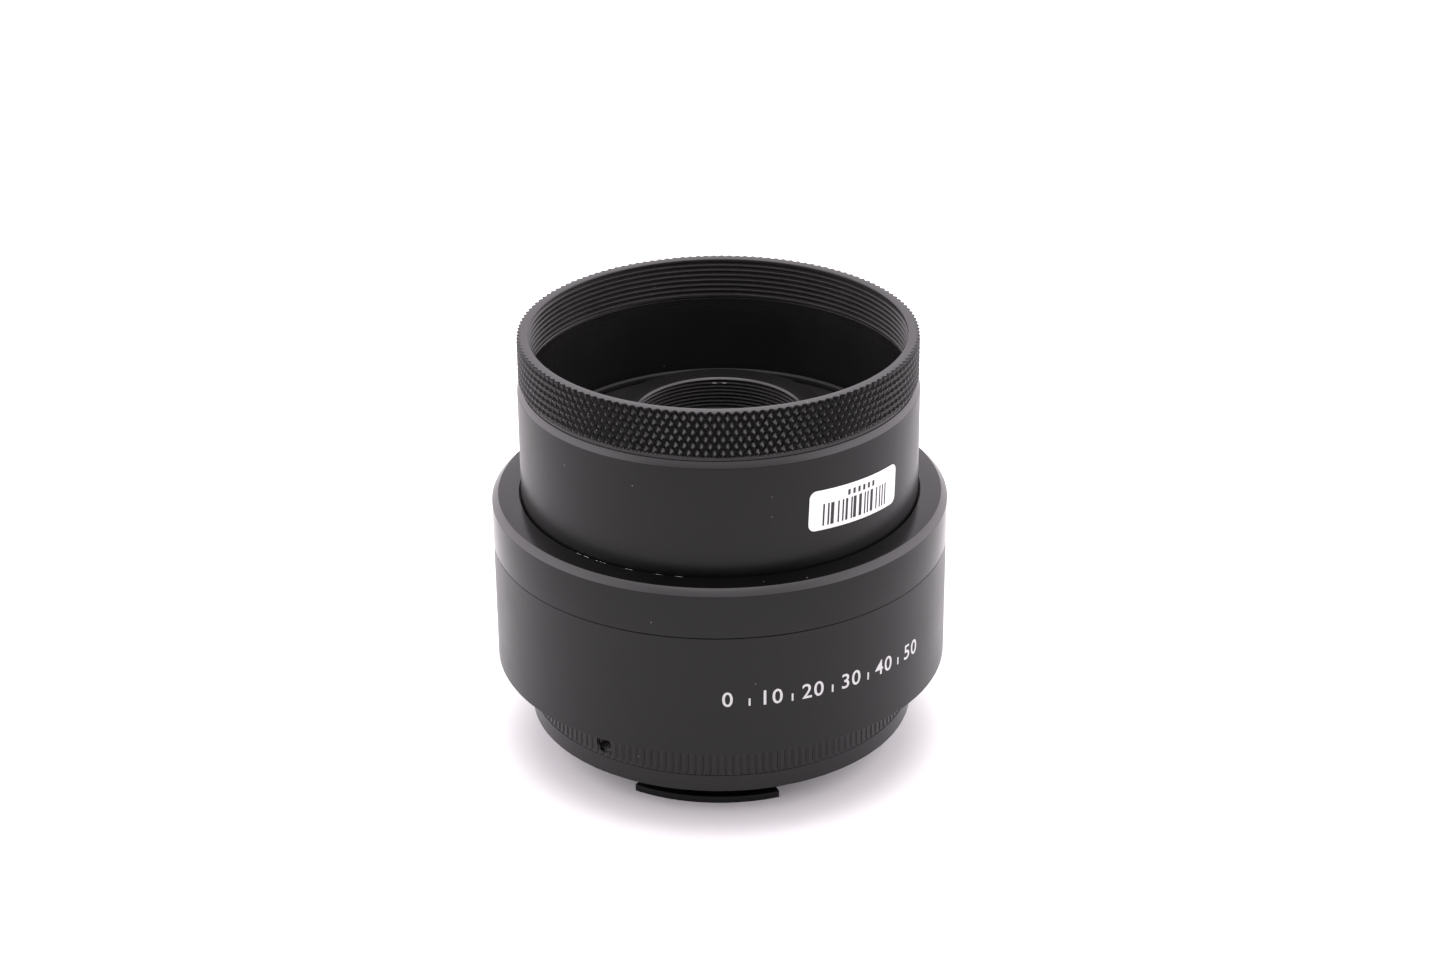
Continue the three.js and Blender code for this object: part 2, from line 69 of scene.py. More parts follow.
BODY_R, STUB_BOTTOM, SPIGOT_TOP = reach("housing_body")
_, SPLIT_Z, COLLAR_TOP = reach("retaining_collar")
KNURL_R, _, RIM_TOP = reach("knurled_front_ring")
HELICOID_R, BARREL_BOTTOM, BARREL_TOP = reach("focus_barrel")
DISC_R, SLEEVE_BOTTOM, DISC_TOP = reach("lens_carrier")
ADAPTER_R, ADAPTER_BOTTOM, ADAPTER_TOP = reach("thread_adapter")
CELL_R, CELL_BOTTOM, CELL_TOP = reach("cell_body")
CELL_RING_R, CELL_RING_BOTTOM, CELL_RING_TOP = reach("cell_retainer")
_, BAFFLE_BOTTOM, BAFFLE_TOP = reach("glare_baffle")
LENS_R, LENS_EDGE_BOTTOM, LENS_EDGE_TOP = reach("lens_negative")
_, LENS_BACK, _ = reach("lens_positive")
INNER_RING_R, INNER_RING_BOTTOM, INNER_RING_TOP = reach("t2_inner_ring")
MOUNT_R, MOUNT_BOTTOM, MOUNT_TOP = reach("mount_ring")
BAYONET_R, BASE, BAYONET_TOP = reach("bayonet_ring")
RETAINER_R, RETAINER_BOTTOM, RETAINER_TOP = reach("carrier_retainer")
FELT_R, FELT_BOTTOM, FELT_TOP = reach("felt_seal")

BODY_BOTTOM = 15.3
BODY_FLOOR = 19.3
SPIGOT_R = 36.1
BODY_BORE_R = 35.05
STUB_R = 20.8
STUB_BORE_R = 18.8
PRINT_RELIEF = 0.02
SPLIT_GAP = 0.13

COLLAR_CHAMFER = 1.05
COLLAR_LID = 1.6
COLLAR_HOLE_R = 32.75

BARREL_R = 32.4
BARREL_BORE_R = 30.5
BARREL_CHAMFER = (31.7, 62.63)
REBATE = (31.1, 62.3)
LIP_R = 28.5
LIP_BOTTOM = 45
LIP_TOP = 46.85
HELICOID_TOP = 38.3

KNURL_COUNT = 150
KNURL_ROW = 1.15
KNURL_ROWS = 8
KNURL_DEPTH = 0.6
KNURL_FLAT = 0.17
KNURL_BOTTOM = 64.25
KNURL_END_CHAMFERS = (0.22, 0.16)
MOUTH_R = 30.31
MOUTH_CHAMFER = 0.12
MOUTH_PITCH = 0.886
MOUTH_THREAD_DEPTH = 0.46
MOUTH_THREAD_BOTTOM = 65.05
MOUTH_LEDGE_Z = 64.7
RETAINER_BORE_R = 29

FELT_COLUMNS = 720
FELT_FIBRES = 900
FELT_LIP_DROP = 0.32
FELT_RAGGEDNESS = 0.2

BOSS_HOLE_R = 13.5
BOSS_PITCH = 0.65
BOSS_THREAD_DEPTH = 0.36
SPIGOT_BOSS_R = 16
SLEEVE_R = 24.2
SLEEVE_BORE_R = 22
DISC_HOLE_R = 16.1
DISC_BOTTOM = 47
CELL_RING_BORE_R = 11.4
BAFFLE_BORE_R = 9.5

FLUTE_COUNT = 162
FLUTE_DEPTH = 0.17
FLUTE_RIDGE = 0.5
FLUTE_FLOOR = 0.14
GRIP_R = 31.64
GRIP_BOTTOM = 8.15
GRIP_CHAMFER = 0.45
SET_SCREW_Z = 10.4
SET_SCREW_R = 1.3
SET_SCREW_HOLE_R = 1.5
SET_SCREW_ANGLES = (-126.8, -6.8, 113.2)
SET_SCREW_GROOVE = 1.2
SMALL_THREAD_PITCH = 0.5
SMALL_THREAD_DEPTH = 0.2

THROAT_R = 25.3
THROAT_BORE_R = 22.5
THROAT_BOTTOM = 1
LUG_R = 26.8
LUG_BORE_R = 23
LUG_HEIGHT = 1.15
LUG_SPAN = 52
LUG_ANGLES = (-95.8, 24.2, 144.2)
BAYONET_SCREW_ANGLES = (39.2, 129.2, 219.2, 309.2)
BAYONET_SCREW_PLACE_R = 28.3

WORN_EDGE_ANGLES = (-136.0, -97.0)
NICK_ANGLES = (86.0, 93.0)
NICK_HALF_WIDTH = 1.4


# -------- mesh making


def even_angles(count):
    return [TAU * k / count for k in range(count)]


class Skin:
    """Points and faces of one piece, in millimetres, made of closed rings round the Z axis."""

    def __init__(self):
        self.points = []
        self.faces = []

    def ring(self, angles, radius, height):
        """Adds one ring. Its radius and height are numbers, or functions of the angle's index."""
        first = len(self.points)
        for k, angle in enumerate(angles):
            r = radius(k) if callable(radius) else radius
            z = height(k) if callable(height) else height
            self.points.append((r * math.cos(angle), r * math.sin(angle), z))
        return range(first, first + len(angles))

    def strip(self, lower, upper):
        """Quads between two rings with the same angles."""
        count = len(lower)
        for k in range(count):
            n = (k + 1) % count
            self.faces.append((lower[k], lower[n], upper[n], upper[k]))

    def zip(self, ring_a, angles_a, ring_b, angles_b):
        """Triangles between two rings whose angles differ."""
        i = j = 0
        while i < len(ring_a) or j < len(ring_b):
            a, next_a = ring_a[i % len(ring_a)], ring_a[(i + 1) % len(ring_a)]
            b, next_b = ring_b[j % len(ring_b)], ring_b[(j + 1) % len(ring_b)]
            turn_a = math.inf if i == len(ring_a) else turned_angle(angles_a, i + 1)
            turn_b = math.inf if j == len(ring_b) else turned_angle(angles_b, j + 1)
            if turn_a <= turn_b:
                self.faces.append((a, next_a, b))
                i += 1
            else:
                self.faces.append((a, next_b, b))
                j += 1

    def turn(self, outline, angles):
        """Revolves an open outline of (radius, z); returns its first and last rings."""
        rings = [self.ring(angles, radius, z) for radius, z in outline]
        for lower, upper in zip(rings, rings[1:]):
            self.strip(lower, upper)
        return rings[0], rings[-1]

    def add(self, points, faces):
        first = len(self.points)
        self.points += [tuple(p) for p in points]
        self.faces += [tuple(first + k for k in face) for face in faces]


def turned_angle(angles, k):
    return angles[k % len(angles)] + TAU * (k // len(angles))


def soften(outline, size=EDGE, closed=True, keep=()):
    """The outline with each corner turned into a short arc, save the corners it is told to keep."""
    rounded = []
    count = len(outline)
    for k, corner in enumerate(outline):
        if corner in keep or (not closed and k in (0, count - 1)):
            rounded.append(corner)
            continue
        corner = Vector(corner)
        back = Vector(outline[k - 1]) - corner
        ahead = Vector(outline[(k + 1) % count]) - corner
        start = corner + back.normalized() * min(size, 0.4 * back.length)
        end = corner + ahead.normalized() * min(size, 0.4 * ahead.length)
        for t in (0, 0.5, 1):
            rounded.append(tuple(start * (1 - t) ** 2 + corner * 2 * t * (1 - t) + end * t * t))
    return rounded


def revolve(outline, columns=FINE_COLUMNS, size=EDGE, keep=()):
    """A skin of a closed outline, its corners softened."""
    skin = Skin()
    first, last = skin.turn(soften(outline, size, keep=keep), even_angles(columns))
    skin.strip(last, first)
    return skin


def revolve_on_axis(outline, columns=SMALL_COLUMNS):
    """A skin of an outline that starts and ends on the axis."""
    skin = Skin()
    angles = even_angles(columns)
    first, last = skin.turn(outline[1:-1], angles)
    for (_, z), ring in ((outline[0], first), (outline[-1], last)):
        skin.points.append((0, 0, z))
        pole = len(skin.points) - 1
        for k in range(columns):
            skin.faces.append((ring[k], ring[(k + 1) % columns], pole))
    return skin


def thread(skin, angles, bottom, top, pitch, minor, depth):
    """A female thread on a wall from bottom to top, run out to the minor radius at both ends."""
    profile = ((0, 0), (0.18, 0), (0.5, 1), (0.68, 1))
    fade = pitch * 0.6
    turns = math.ceil((top - bottom) / pitch) + 2
    rings = []
    for turn in range(-2, turns):
        for share, cut_depth in profile:
            heights = [bottom + pitch * (turn + share + angle / TAU) for angle in angles]
            fades = [min(1, max(0, (z - bottom) / fade), max(0, (top - z) / fade)) for z in heights]
            rings.append(skin.ring(
                angles,
                lambda k, fades=fades, cut_depth=cut_depth: minor + depth * cut_depth * fades[k],
                lambda k, heights=heights: min(top, max(bottom, heights[k])),
            ))
    last = len(angles) - 1
    per_turn = len(profile)
    for row in range(len(rings) - 1):
        for k in range(last):
            skin.faces.append((rings[row][k], rings[row][k + 1], rings[row + 1][k + 1], rings[row + 1][k]))
        if row + per_turn + 1 < len(rings):
            beyond, above = rings[row + per_turn], rings[row + per_turn + 1]
            skin.faces.append((rings[row][last], beyond[0], above[0], rings[row + 1][last]))


def new_object(name, data):
    """An object that holds the data, put into the scene."""
    obj = bpy.data.objects.new(name, data)
    bpy.context.scene.collection.objects.link(obj)
    return obj


def solid(name, skin):
    """A mesh object made from a skin: welded, closed and facing out."""
    mesh = bpy.data.meshes.new(name)
    mesh.from_pydata(skin.points, [], skin.faces)
    work = bmesh.new()
    work.from_mesh(mesh)
    bmesh.ops.remove_doubles(work, verts=work.verts, dist=WELD)
    bmesh.ops.recalc_face_normals(work, faces=work.faces)
    bmesh.ops.scale(work, vec=(MM, MM, MM), verts=work.verts)
    work.to_mesh(mesh)
    work.free()
    return new_object(name, mesh)


def boolean(obj, tool, operation="DIFFERENCE"):
    """Cuts or joins another object into obj, and removes that other object."""
    modifier = obj.modifiers.new("cut", "BOOLEAN")
    modifier.operation = operation
    modifier.solver = "MANIFOLD"
    modifier.object = tool
    graph = bpy.context.evaluated_depsgraph_get()
    made = bpy.data.meshes.new_from_object(obj.evaluated_get(graph))
    obj.modifiers.clear()
    old = obj.data
    obj.data = made
    bpy.data.meshes.remove(old)
    bpy.data.objects.remove(tool)


def finish_piece(obj, material, body, slot, replaced=()):
    """Shades a piece, gives it its material, ties it to its body and hides the nodes it stands for. Its slot
    is not used.
    """
    obj.data.materials.clear()
    obj.data.materials.append(material)
    obj.data.shade_smooth()
    obj.data.set_sharp_from_angle(angle=SHARP_ANGLE)
    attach(obj, body)
    if replaced:
        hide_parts(*replaced)


def turned_piece(node, outline, material, body, slot, **how):
    """The piece that stands for a round node, revolved from its outline."""
    piece = solid(f"{node}_shape", revolve(outline, **how))
    finish_piece(piece, material, body, slot, [node])
    return piece


def paint(obj, material, chosen):
    """Gives a second material to the faces whose centre radius and height, in millimetres, are chosen."""
    obj.data.materials.append(material)
    index = len(obj.data.materials) - 1
    for face in obj.data.polygons:
        middle = face.center / MM
        if chosen(math.hypot(middle.x, middle.y), middle.z):
            face.material_index = index


def peg(name, radius, start, end, sides=48):
    """A plain closed bar on the Z axis, as a cutting tool."""
    outline = [(0, start), (radius, start), (radius, end), (0, end)]
    return solid(name, revolve_on_axis(outline, sides))


def turn_to(obj, angle, radius=0, height=0, lying=False):
    """Places an object made on the Z axis at an angle round the unit, lying along the radius or upright."""
    matrix = Matrix.Rotation(math.radians(angle), 4, "Z")
    matrix @= Matrix.Translation((radius * MM, 0, height * MM))
    if lying:
        matrix @= Matrix.Rotation(TAU / 4, 4, "Y")
    obj.data.transform(matrix)
    return obj


# -------- materials


class Nodes:
    """A short way to write the node tree of one material."""

    def __init__(self, name):
        self.material = bpy.data.materials.new(name)
        self.material.use_nodes = True
        self.tree = self.material.node_tree
        self.shader = self.tree.nodes["Principled BSDF"]
        self.place = self.new("ShaderNodeTexCoord").outputs["Object"]

    def new(self, kind, **settings):
        node = self.tree.nodes.new(kind)
        for key, value in settings.items():
            setattr(node, key, value)
        return node

    def link(self, source, target):
        if hasattr(source, "is_output"):
            self.tree.links.new(source, target)
        else:
            target.default_value = source

    def math(self, operation, a, b=0.0):
        node = self.new("ShaderNodeMath", operation=operation)
        self.link(a, node.inputs[0])
        self.link(b, node.inputs[1])
        return node.outputs[0]

    def product(self, value, *others):
        """The value times each of the others, which are masks or numbers."""
        for other in others:
            value = self.math("MULTIPLY", value, other)
        return value

    def noise(self, vector, scale, detail=2.0):
        node = self.new("ShaderNodeTexNoise")
        self.link(vector, node.inputs["Vector"])
        node.inputs["Scale"].default_value = scale
        node.inputs["Detail"].default_value = detail
        return node.outputs["Fac"]

    def ramp(self, value, low, high, out_low=0.0, out_high=1.0):
        node = self.new("ShaderNodeMapRange", clamp=True)
        self.link(value, node.inputs["Value"])
        for key, number in zip(("From Min", "From Max", "To Min", "To Max"), (low, high, out_low, out_high)):
            node.inputs[key].default_value = number
        return node.outputs["Result"]

    def mix(self, share, a, b):
        node = self.new("ShaderNodeMix", data_type="RGBA")
        self.link(share, node.inputs[0])
        self.link(a, node.inputs[6])
        self.link(b, node.inputs[7])
        return node.outputs[2]

    def polar(self):
        """Radius and height of the point, in millimetres, and its angle in degrees."""
        parts = self.new("ShaderNodeSeparateXYZ")
        self.link(self.place, parts.inputs[0])
        x, y, z = parts.outputs
        square = self.math("ADD", self.math("MULTIPLY", x, x), self.math("MULTIPLY", y, y))
        radius = self.math("MULTIPLY", self.math("SQRT", square), 1 / MM)
        angle = self.math("MULTIPLY", self.math("ARCTAN2", y, x), 360 / TAU)
        return radius, self.math("MULTIPLY", z, 1 / MM), angle

    def vector(self, x, y, z):
        node = self.new("ShaderNodeCombineXYZ")
        for value, socket in zip((x, y, z), node.inputs):
            self.link(value, socket)
        return node.outputs[0]

    def bump(self, height, distance):
        node = self.new("ShaderNodeBump")
        node.inputs["Distance"].default_value = distance * MM
        self.link(height, node.inputs["Height"])
        self.link(node.outputs[0], self.shader.inputs["Normal"])

    def set(self, **values):
        for key, value in values.items():
            self.link(value, self.shader.inputs[key.replace("_", " ").title()])


def grey(level, warmth=1.0):
    return (level * warmth, level, level * (2 - warmth) ** 0.5, 1.0)


def specks(nodes, cells_per_mm, size, share):
    """A mask of small round specks of dust, in a share of the cells."""
    cells = nodes.new("ShaderNodeTexVoronoi")
    nodes.link(nodes.place, cells.inputs["Vector"])
    cells.inputs["Scale"].default_value = cells_per_mm / MM
    cell = nodes.new("ShaderNodeSeparateColor")
    nodes.link(cells.outputs["Color"], cell.inputs[0])
    chosen = nodes.math("LESS_THAN", cell.outputs[0], share)
    inside = nodes.ramp(cells.outputs["Distance"], size, size * 0.5)
    return nodes.math("MULTIPLY", inside, chosen)


def anodised(name, tone, roughness, ior, dust=0.03, wear=None):
    """Black anodised, turned aluminium: fine rings from the tool, uneven gloss and a little dust."""
    nodes = Nodes(name)
    radius, height, angle = nodes.polar()
    rings = nodes.noise(nodes.vector(radius, height, nodes.math("MULTIPLY", angle, 0.01)), 9, 3)
    clouds = nodes.noise(nodes.place, 0.12 / MM, 3)
    dye = nodes.mix(clouds, grey(tone * 0.75, 1.03), grey(tone * 1.25, 1.03))
    colour = nodes.mix(specks(nodes, 0.75, 0.075, dust), dye, grey(0.3))
    gloss = nodes.ramp(nodes.math("ADD", clouds, nodes.math("MULTIPLY", rings, 0.6)), 0.5, 1.1,
                       roughness - 0.035, roughness + 0.035)
    # The optional mask lightens the colour: real wear on the collar and the boss thread, a painted highlight
    # on the knurl's tips.
    if wear is not None:
        wear_and_highlight = wear(nodes, radius, height, angle)
        colour = nodes.mix(wear_and_highlight, colour, grey(0.5, 1.02))
    nodes.set(base_color=colour, roughness=gloss)
    nodes.shader.inputs["IOR"].default_value = ior
    nodes.bump(rings, 0.0012)
    return nodes.material


def edge_wear(nodes, radius, height, angle):
    """Bare metal in broken streaks along the inner edge of the collar, at the left front."""
    near_edge = nodes.math("LESS_THAN", radius, COLLAR_HOLE_R + 0.09)
    on_top = nodes.math("GREATER_THAN", height, COLLAR_TOP - 0.12)
    after = nodes.math("GREATER_THAN", angle, WORN_EDGE_ANGLES[0])
    before = nodes.math("LESS_THAN", angle, WORN_EDGE_ANGLES[1])
    streaks = nodes.noise(nodes.vector(nodes.math("MULTIPLY", angle, 0.35), radius, 0.0), 1.3, 4)
    broken = nodes.ramp(streaks, 0.5, 0.56)
    return nodes.product(near_edge, on_top, after, before, broken)


def tip_painted_highlight(nodes, radius, height, angle):
    """Lighter flats on the knurl's points: a painted highlight."""
    tips = nodes.ramp(radius, KNURL_R - 0.12, KNURL_R - 0.02, 0.0, 0.035)
    return nodes.math("MULTIPLY", tips, nodes.math("GREATER_THAN", height, KNURL_BOTTOM))


def nick_wear(nodes, radius, height, angle):
    """Two small bright nicks on the first crests of the boss thread, at the back."""
    masks = []
    for place in NICK_ANGLES:
        away = nodes.math("ABSOLUTE", nodes.math("SUBTRACT", angle, place))
        masks.append(nodes.math("LESS_THAN", away, NICK_HALF_WIDTH))
    either = nodes.math("MAXIMUM", *masks)
    crest = nodes.math("LESS_THAN", radius, BOSS_HOLE_R + 0.1)
    first = nodes.math("GREATER_THAN", height, ADAPTER_TOP - 1.4)
    below_edge = nodes.math("LESS_THAN", height, ADAPTER_TOP - 0.7)
    return nodes.product(either, crest, first, below_edge, 0.6)


def brushed(name, colour, roughness):
    """A turned metal with fine rings in its gloss."""
    nodes = Nodes(name)
    radius, height, _ = nodes.polar()
    rings = nodes.noise(nodes.vector(radius, height, 0.0), 14, 3)
    clouds = nodes.noise(nodes.place, 0.4 / MM, 3)
    dark = tuple(c * 0.75 for c in colour) + (1.0,)
    nodes.set(
        base_color=nodes.mix(clouds, dark, (*colour, 1.0)),
        roughness=nodes.ramp(rings, 0.3, 0.7, roughness - 0.08, roughness + 0.08),
        metallic=1.0,
    )
    nodes.bump(rings, 0.001)
    return nodes.material


def felt():
    nodes = Nodes("black_felt")
    fluff = nodes.noise(nodes.place, 9 / MM, 4)
    nodes.set(base_color=nodes.mix(fluff, grey(0.002), grey(0.02)), roughness=0.95, sheen_weight=0.15)
    nodes.bump(fluff, 0.05)
    return nodes.material


def paper():
    """Satin label stock with the faint streaks of a thermal printer."""
    nodes = Nodes("label_stock")
    _, height, angle = nodes.polar()
    streaks = nodes.noise(nodes.vector(angle, nodes.math("MULTIPLY", height, 0.02), 0.0), 2.6, 2)
    fibres = nodes.noise(nodes.place, 6 / MM, 3)
    nodes.set(
        base_color=nodes.mix(nodes.ramp(streaks, 0.35, 0.65), grey(0.68), grey(0.78)),
        roughness=nodes.ramp(fibres, 0.3, 0.7, 0.42, 0.52),
    )
    nodes.bump(fibres, 0.004)
    return nodes.material


def ink(name, level):
    nodes = Nodes(name)
    wear = nodes.noise(nodes.place, 5 / MM, 4)
    nodes.set(
        base_color=nodes.mix(wear, grey(level * 0.82, 1.01), grey(min(1.0, level * 1.15), 1.01)),
        roughness=nodes.ramp(wear, 0.3, 0.7, 0.5, 0.62),
    )
    nodes.bump(wear, 0.003)
    return nodes.material


def coated_glass():
    nodes = Nodes("coated_glass")
    haze = nodes.noise(nodes.place, 0.3 / MM, 3)
    nodes.set(
        base_color=nodes.mix(haze, (0.93, 0.98, 0.95, 1), (0.97, 1.0, 0.98, 1)),
        roughness=nodes.ramp(haze, 0.3, 0.7, 0.0, 0.02),
        transmission_weight=1.0,
        specular_tint=(0.55, 1.0, 0.72, 1),
    )
    nodes.shader.inputs["IOR"].default_value = 1.52
    return nodes.material


BLACK = anodised("black_anodised", 0.003, 0.34, 1.32)
COLLAR_BLACK = anodised("collar_anodised", 0.0025, 0.19, 1.32, dust=0.06, wear=edge_wear)
# Chamfers: a lighter, more reflective copy of the black. It gives the gloss of the cut edge, and its lighter
# tone is a painted highlight.
EDGE_PAINTED_HIGHLIGHT_BLACK = anodised("turned_edge_painted_highlight_anodised", 0.006, 0.3, 1.5)
# Mount ring: a lighter copy of the black, painted light that offsets the shade under the body's overhang.
MOUNT_PAINTED_LIGHT_BLACK = anodised("mount_painted_light_anodised", 0.0045, 0.34, 1.36)
RIM_BLACK = anodised("rim_anodised", 0.011, 0.28, 1.38)
# Knurl: the tips are lightened by a painted highlight.
KNURL_BLACK = anodised("knurled_anodised", 0.006, 0.24, 1.5, dust=0.08, wear=tip_painted_highlight)
BORE_BLACK = anodised("bore_anodised", 0.006, 0.45, 1.4)
BOSS_BLACK = anodised("boss_anodised", 0.006, 0.2, 1.2)
# Threads in the mouth and the boss: a much lighter copy of the black, painted light for the light that falls
# into the bore. The nicks are real wear.
THREAD_PAINTED_LIGHT_BLACK = anodised("thread_painted_light_anodised", 0.024, 0.3, 1.45, wear=nick_wear)
# Inner parts: a lighter copy of the black, painted light for the light that falls into the bore. It also
# washes out the retainer's shadow on the carrier.
MATT_PAINTED_LIGHT_BLACK = anodised("matt_painted_light_anodised", 0.012, 0.5, 1.3, dust=0.05)
GLOSS_BLACK = anodised("bayonet_anodised", 0.0015, 0.28, 1.4)
DARK_STEEL = brushed("blackened_steel", (0.09, 0.09, 0.1), 0.34)
BRASS = brushed("turned_brass", (0.62, 0.44, 0.18), 0.32)
FELT = felt()
PAPER = paper()
WHITE_INK = ink("white_print", 0.48)
BLACK_INK = ink("black_print", 0.006)
GLASS = coated_glass()


# -------- housing


def make_body():
    outside = BODY_R - PRINT_RELIEF
    top = SPLIT_Z - SPLIT_GAP
    outline = [
        (STUB_R, STUB_BOTTOM),
        (STUB_R, BODY_BOTTOM),
        (outside, BODY_BOTTOM),
        (outside, top),
        (SPIGOT_R, top),
        (SPIGOT_R, SPIGOT_TOP),
        (BODY_BORE_R, SPIGOT_TOP),
        (BODY_BORE_R, BODY_FLOOR),
        (STUB_BORE_R, BODY_FLOOR),
        (STUB_BORE_R, STUB_BOTTOM),
    ]
    turned_piece("housing_body", outline, BLACK, "housing", "black_anodised", size=0.05)


def make_collar():
    lid_bottom = COLLAR_TOP - COLLAR_LID
    skirt_bore = SPIGOT_R + 0.15
    outline = [
        (BODY_R, SPLIT_Z),
        (BODY_R, COLLAR_TOP - COLLAR_CHAMFER),
        (BODY_R - COLLAR_CHAMFER, COLLAR_TOP),
        (COLLAR_HOLE_R, COLLAR_TOP),
        (COLLAR_HOLE_R, lid_bottom),
        (skirt_bore, lid_bottom),
        (skirt_bore, SPLIT_Z),
    ]
    collar = turned_piece("retaining_collar", outline, COLLAR_BLACK, "housing", "black_anodised", size=0.05)
    chamfer_bottom = COLLAR_TOP - COLLAR_CHAMFER + 0.05
    # The collar's chamfer takes the lighter copy of the black, a painted highlight.
    paint(collar, EDGE_PAINTED_HIGHLIGHT_BLACK, lambda radius, height: chamfer_bottom < height < COLLAR_TOP - 0.05)


def fibre(skin, start, lean, length, radius):
    """A bent three-sided hair of felt from a point, leaning a little more at its tip."""
    points = []
    for step in range(4):
        t = step / 3
        middle = Vector(start) + Vector(lean) * length * t + Vector((0, 0, length * (t - 0.55 * t * t)))
        for side in range(3):
            turn = TAU * side / 3
            points.append(middle + Vector((math.cos(turn), math.sin(turn), 0)) * radius * (1.1 - t))
    faces = [(0, 2, 1), (9, 10, 11)]
    for step in range(3):
        for side in range(3):
            low, next_low = 3 * step + side, 3 * step + (side + 1) % 3
            faces.append((low, next_low, next_low + 3, low + 3))
    skin.add(points, faces)


def make_felt():
    """The felt ring, with a ragged lip and loose fibres in the gap between collar and barrel."""
    random.seed(7)
    angles = even_angles(FELT_COLUMNS)
    lip_inner = BARREL_R + 0.17
    ragged = []
    for angle in angles:
        unevenness = noise.noise(Vector((40 * math.cos(angle), 40 * math.sin(angle), 0)))
        ragged.append(COLLAR_TOP - FELT_LIP_DROP + FELT_RAGGEDNESS * unevenness)
    skin = Skin()
    lip_outer = COLLAR_HOLE_R - 0.04
    outline = [(lip_outer, FELT_TOP), (FELT_R, FELT_TOP), (FELT_R, FELT_BOTTOM), (lip_inner, FELT_BOTTOM)]
    first, last = skin.turn(outline, angles)
    inner = skin.ring(angles, lip_inner, lambda k: ragged[k])
    outer = skin.ring(angles, lip_outer, lambda k: ragged[k] - 0.04)
    skin.strip(last, inner)
    skin.strip(inner, outer)
    skin.strip(outer, first)
    ring = solid("felt_seal_shape", skin)
    finish_piece(ring, FELT, "housing", "felt", ["felt_seal"])
    hairs = Skin()
    for _ in range(FELT_FIBRES):
        angle = random.uniform(0, TAU)
        radius = random.uniform(lip_inner + 0.02, lip_outer)
        cos, sin = math.cos(angle), math.sin(angle)
        start = (radius * cos, radius * sin, COLLAR_TOP - 0.45)
        out = random.uniform(0.0, 1.0) ** 2
        side = random.uniform(-0.7, 0.7)
        lean = (out * cos - side * sin, out * sin + side * cos, 0)
        fibre(hairs, start, lean, random.uniform(0.45, 0.95), random.uniform(0.012, 0.03))
    fuzz = solid("felt_seal_fibres", hairs)
    finish_piece(fuzz, FELT, "housing", "felt")


def make_inner_ring():
    outline = [
        (INNER_RING_R, INNER_RING_BOTTOM),
        (INNER_RING_R, SET_SCREW_Z - 1.6),
        (INNER_RING_R - SET_SCREW_GROOVE, SET_SCREW_Z - 0.4),
        (INNER_RING_R - SET_SCREW_GROOVE, SET_SCREW_Z + 0.4),
        (INNER_RING_R, SET_SCREW_Z + 1.6),
        (INNER_RING_R, INNER_RING_TOP),
        (STUB_R + 0.2, INNER_RING_TOP),
        (STUB_R + 0.2, INNER_RING_BOTTOM),
    ]
    turned_piece("t2_inner_ring", outline, BLACK, "housing", "black_anodised")


# -------- printed scale

SCALE_FIRST = -88.5
SCALE_STEP = 10.6
SCALE_MARKS = ("0", "10", "20", "30", "40", "50")
SCALE_Z = 25.35
NUMERAL_HEIGHT = 2.6
TICK_WIDTH = 0.3
TICK_HEIGHT = 1.3
PRINT_DEPTH = 0.05
CAPITAL_SHARE = 0.72


def wrap(points, radius, angle, height):
    """Bends flat points (along, up, out) round the unit at a radius, centred on an angle."""
    bent = []
    for along, up, out in points:
        turn = math.radians(angle) + along / radius
        bent.append(((radius + out) * math.cos(turn), (radius + out) * math.sin(turn), height + up))
    return bent


def slab(width, height, low, high):
    """A flat plate with its middle at the origin: points (along, up, out) and faces."""
    points = []
    for along in (-width / 2, width / 2):
        for up in (-height / 2, height / 2):
            points += [(along, up, low), (along, up, high)]
    faces = [(0, 1, 3, 2), (0, 4, 5, 1), (2, 3, 7, 6), (1, 5, 7, 3), (0, 2, 6, 4), (4, 6, 7, 5)]
    return points, faces


def numeral(text, height):
    """The flat mesh of a number in a plain sans face: points (along, up, out) and faces."""
    curve = bpy.data.curves.new("numeral", "FONT")
    curve.body = text
    curve.align_x = "CENTER"
    curve.size = height / CAPITAL_SHARE
    curve.offset = 0.012 * height
    curve.extrude = PRINT_DEPTH / 2
    curve.resolution_u = 6
    curve.space_character = 1.12
    obj = new_object("numeral", curve)
    graph = bpy.context.evaluated_depsgraph_get()
    mesh = bpy.data.meshes.new_from_object(obj.evaluated_get(graph))
    points = [tuple(v.co) for v in mesh.vertices]
    faces = [tuple(p.vertices) for p in mesh.polygons]
    bpy.data.objects.remove(obj)
    bpy.data.curves.remove(curve)
    bpy.data.meshes.remove(mesh)
    return points, faces


def make_scale():
    """White numbers with a tick between each pair, in place of the printed text. They measure nothing."""
    skin = Skin()
    surface = BODY_R - PRINT_DEPTH / 2 - 0.003
    for k, text in enumerate(SCALE_MARKS):
        angle = SCALE_FIRST + SCALE_STEP * k
        points, faces = numeral(text, NUMERAL_HEIGHT)
        skin.add(wrap(points, surface, angle, SCALE_Z - NUMERAL_HEIGHT / 2), faces)
        if k + 1 < len(SCALE_MARKS):
            points, faces = slab(TICK_WIDTH, TICK_HEIGHT, -PRINT_DEPTH / 2, PRINT_DEPTH / 2)
            low = SCALE_Z - NUMERAL_HEIGHT / 2 + TICK_HEIGHT / 2
            skin.add(wrap(points, surface, angle + SCALE_STEP / 2, low), faces)
    marks = solid("degree_scale_print", skin)
    finish_piece(marks, WHITE_INK, "housing", "label_paper")


# -------- focus barrel


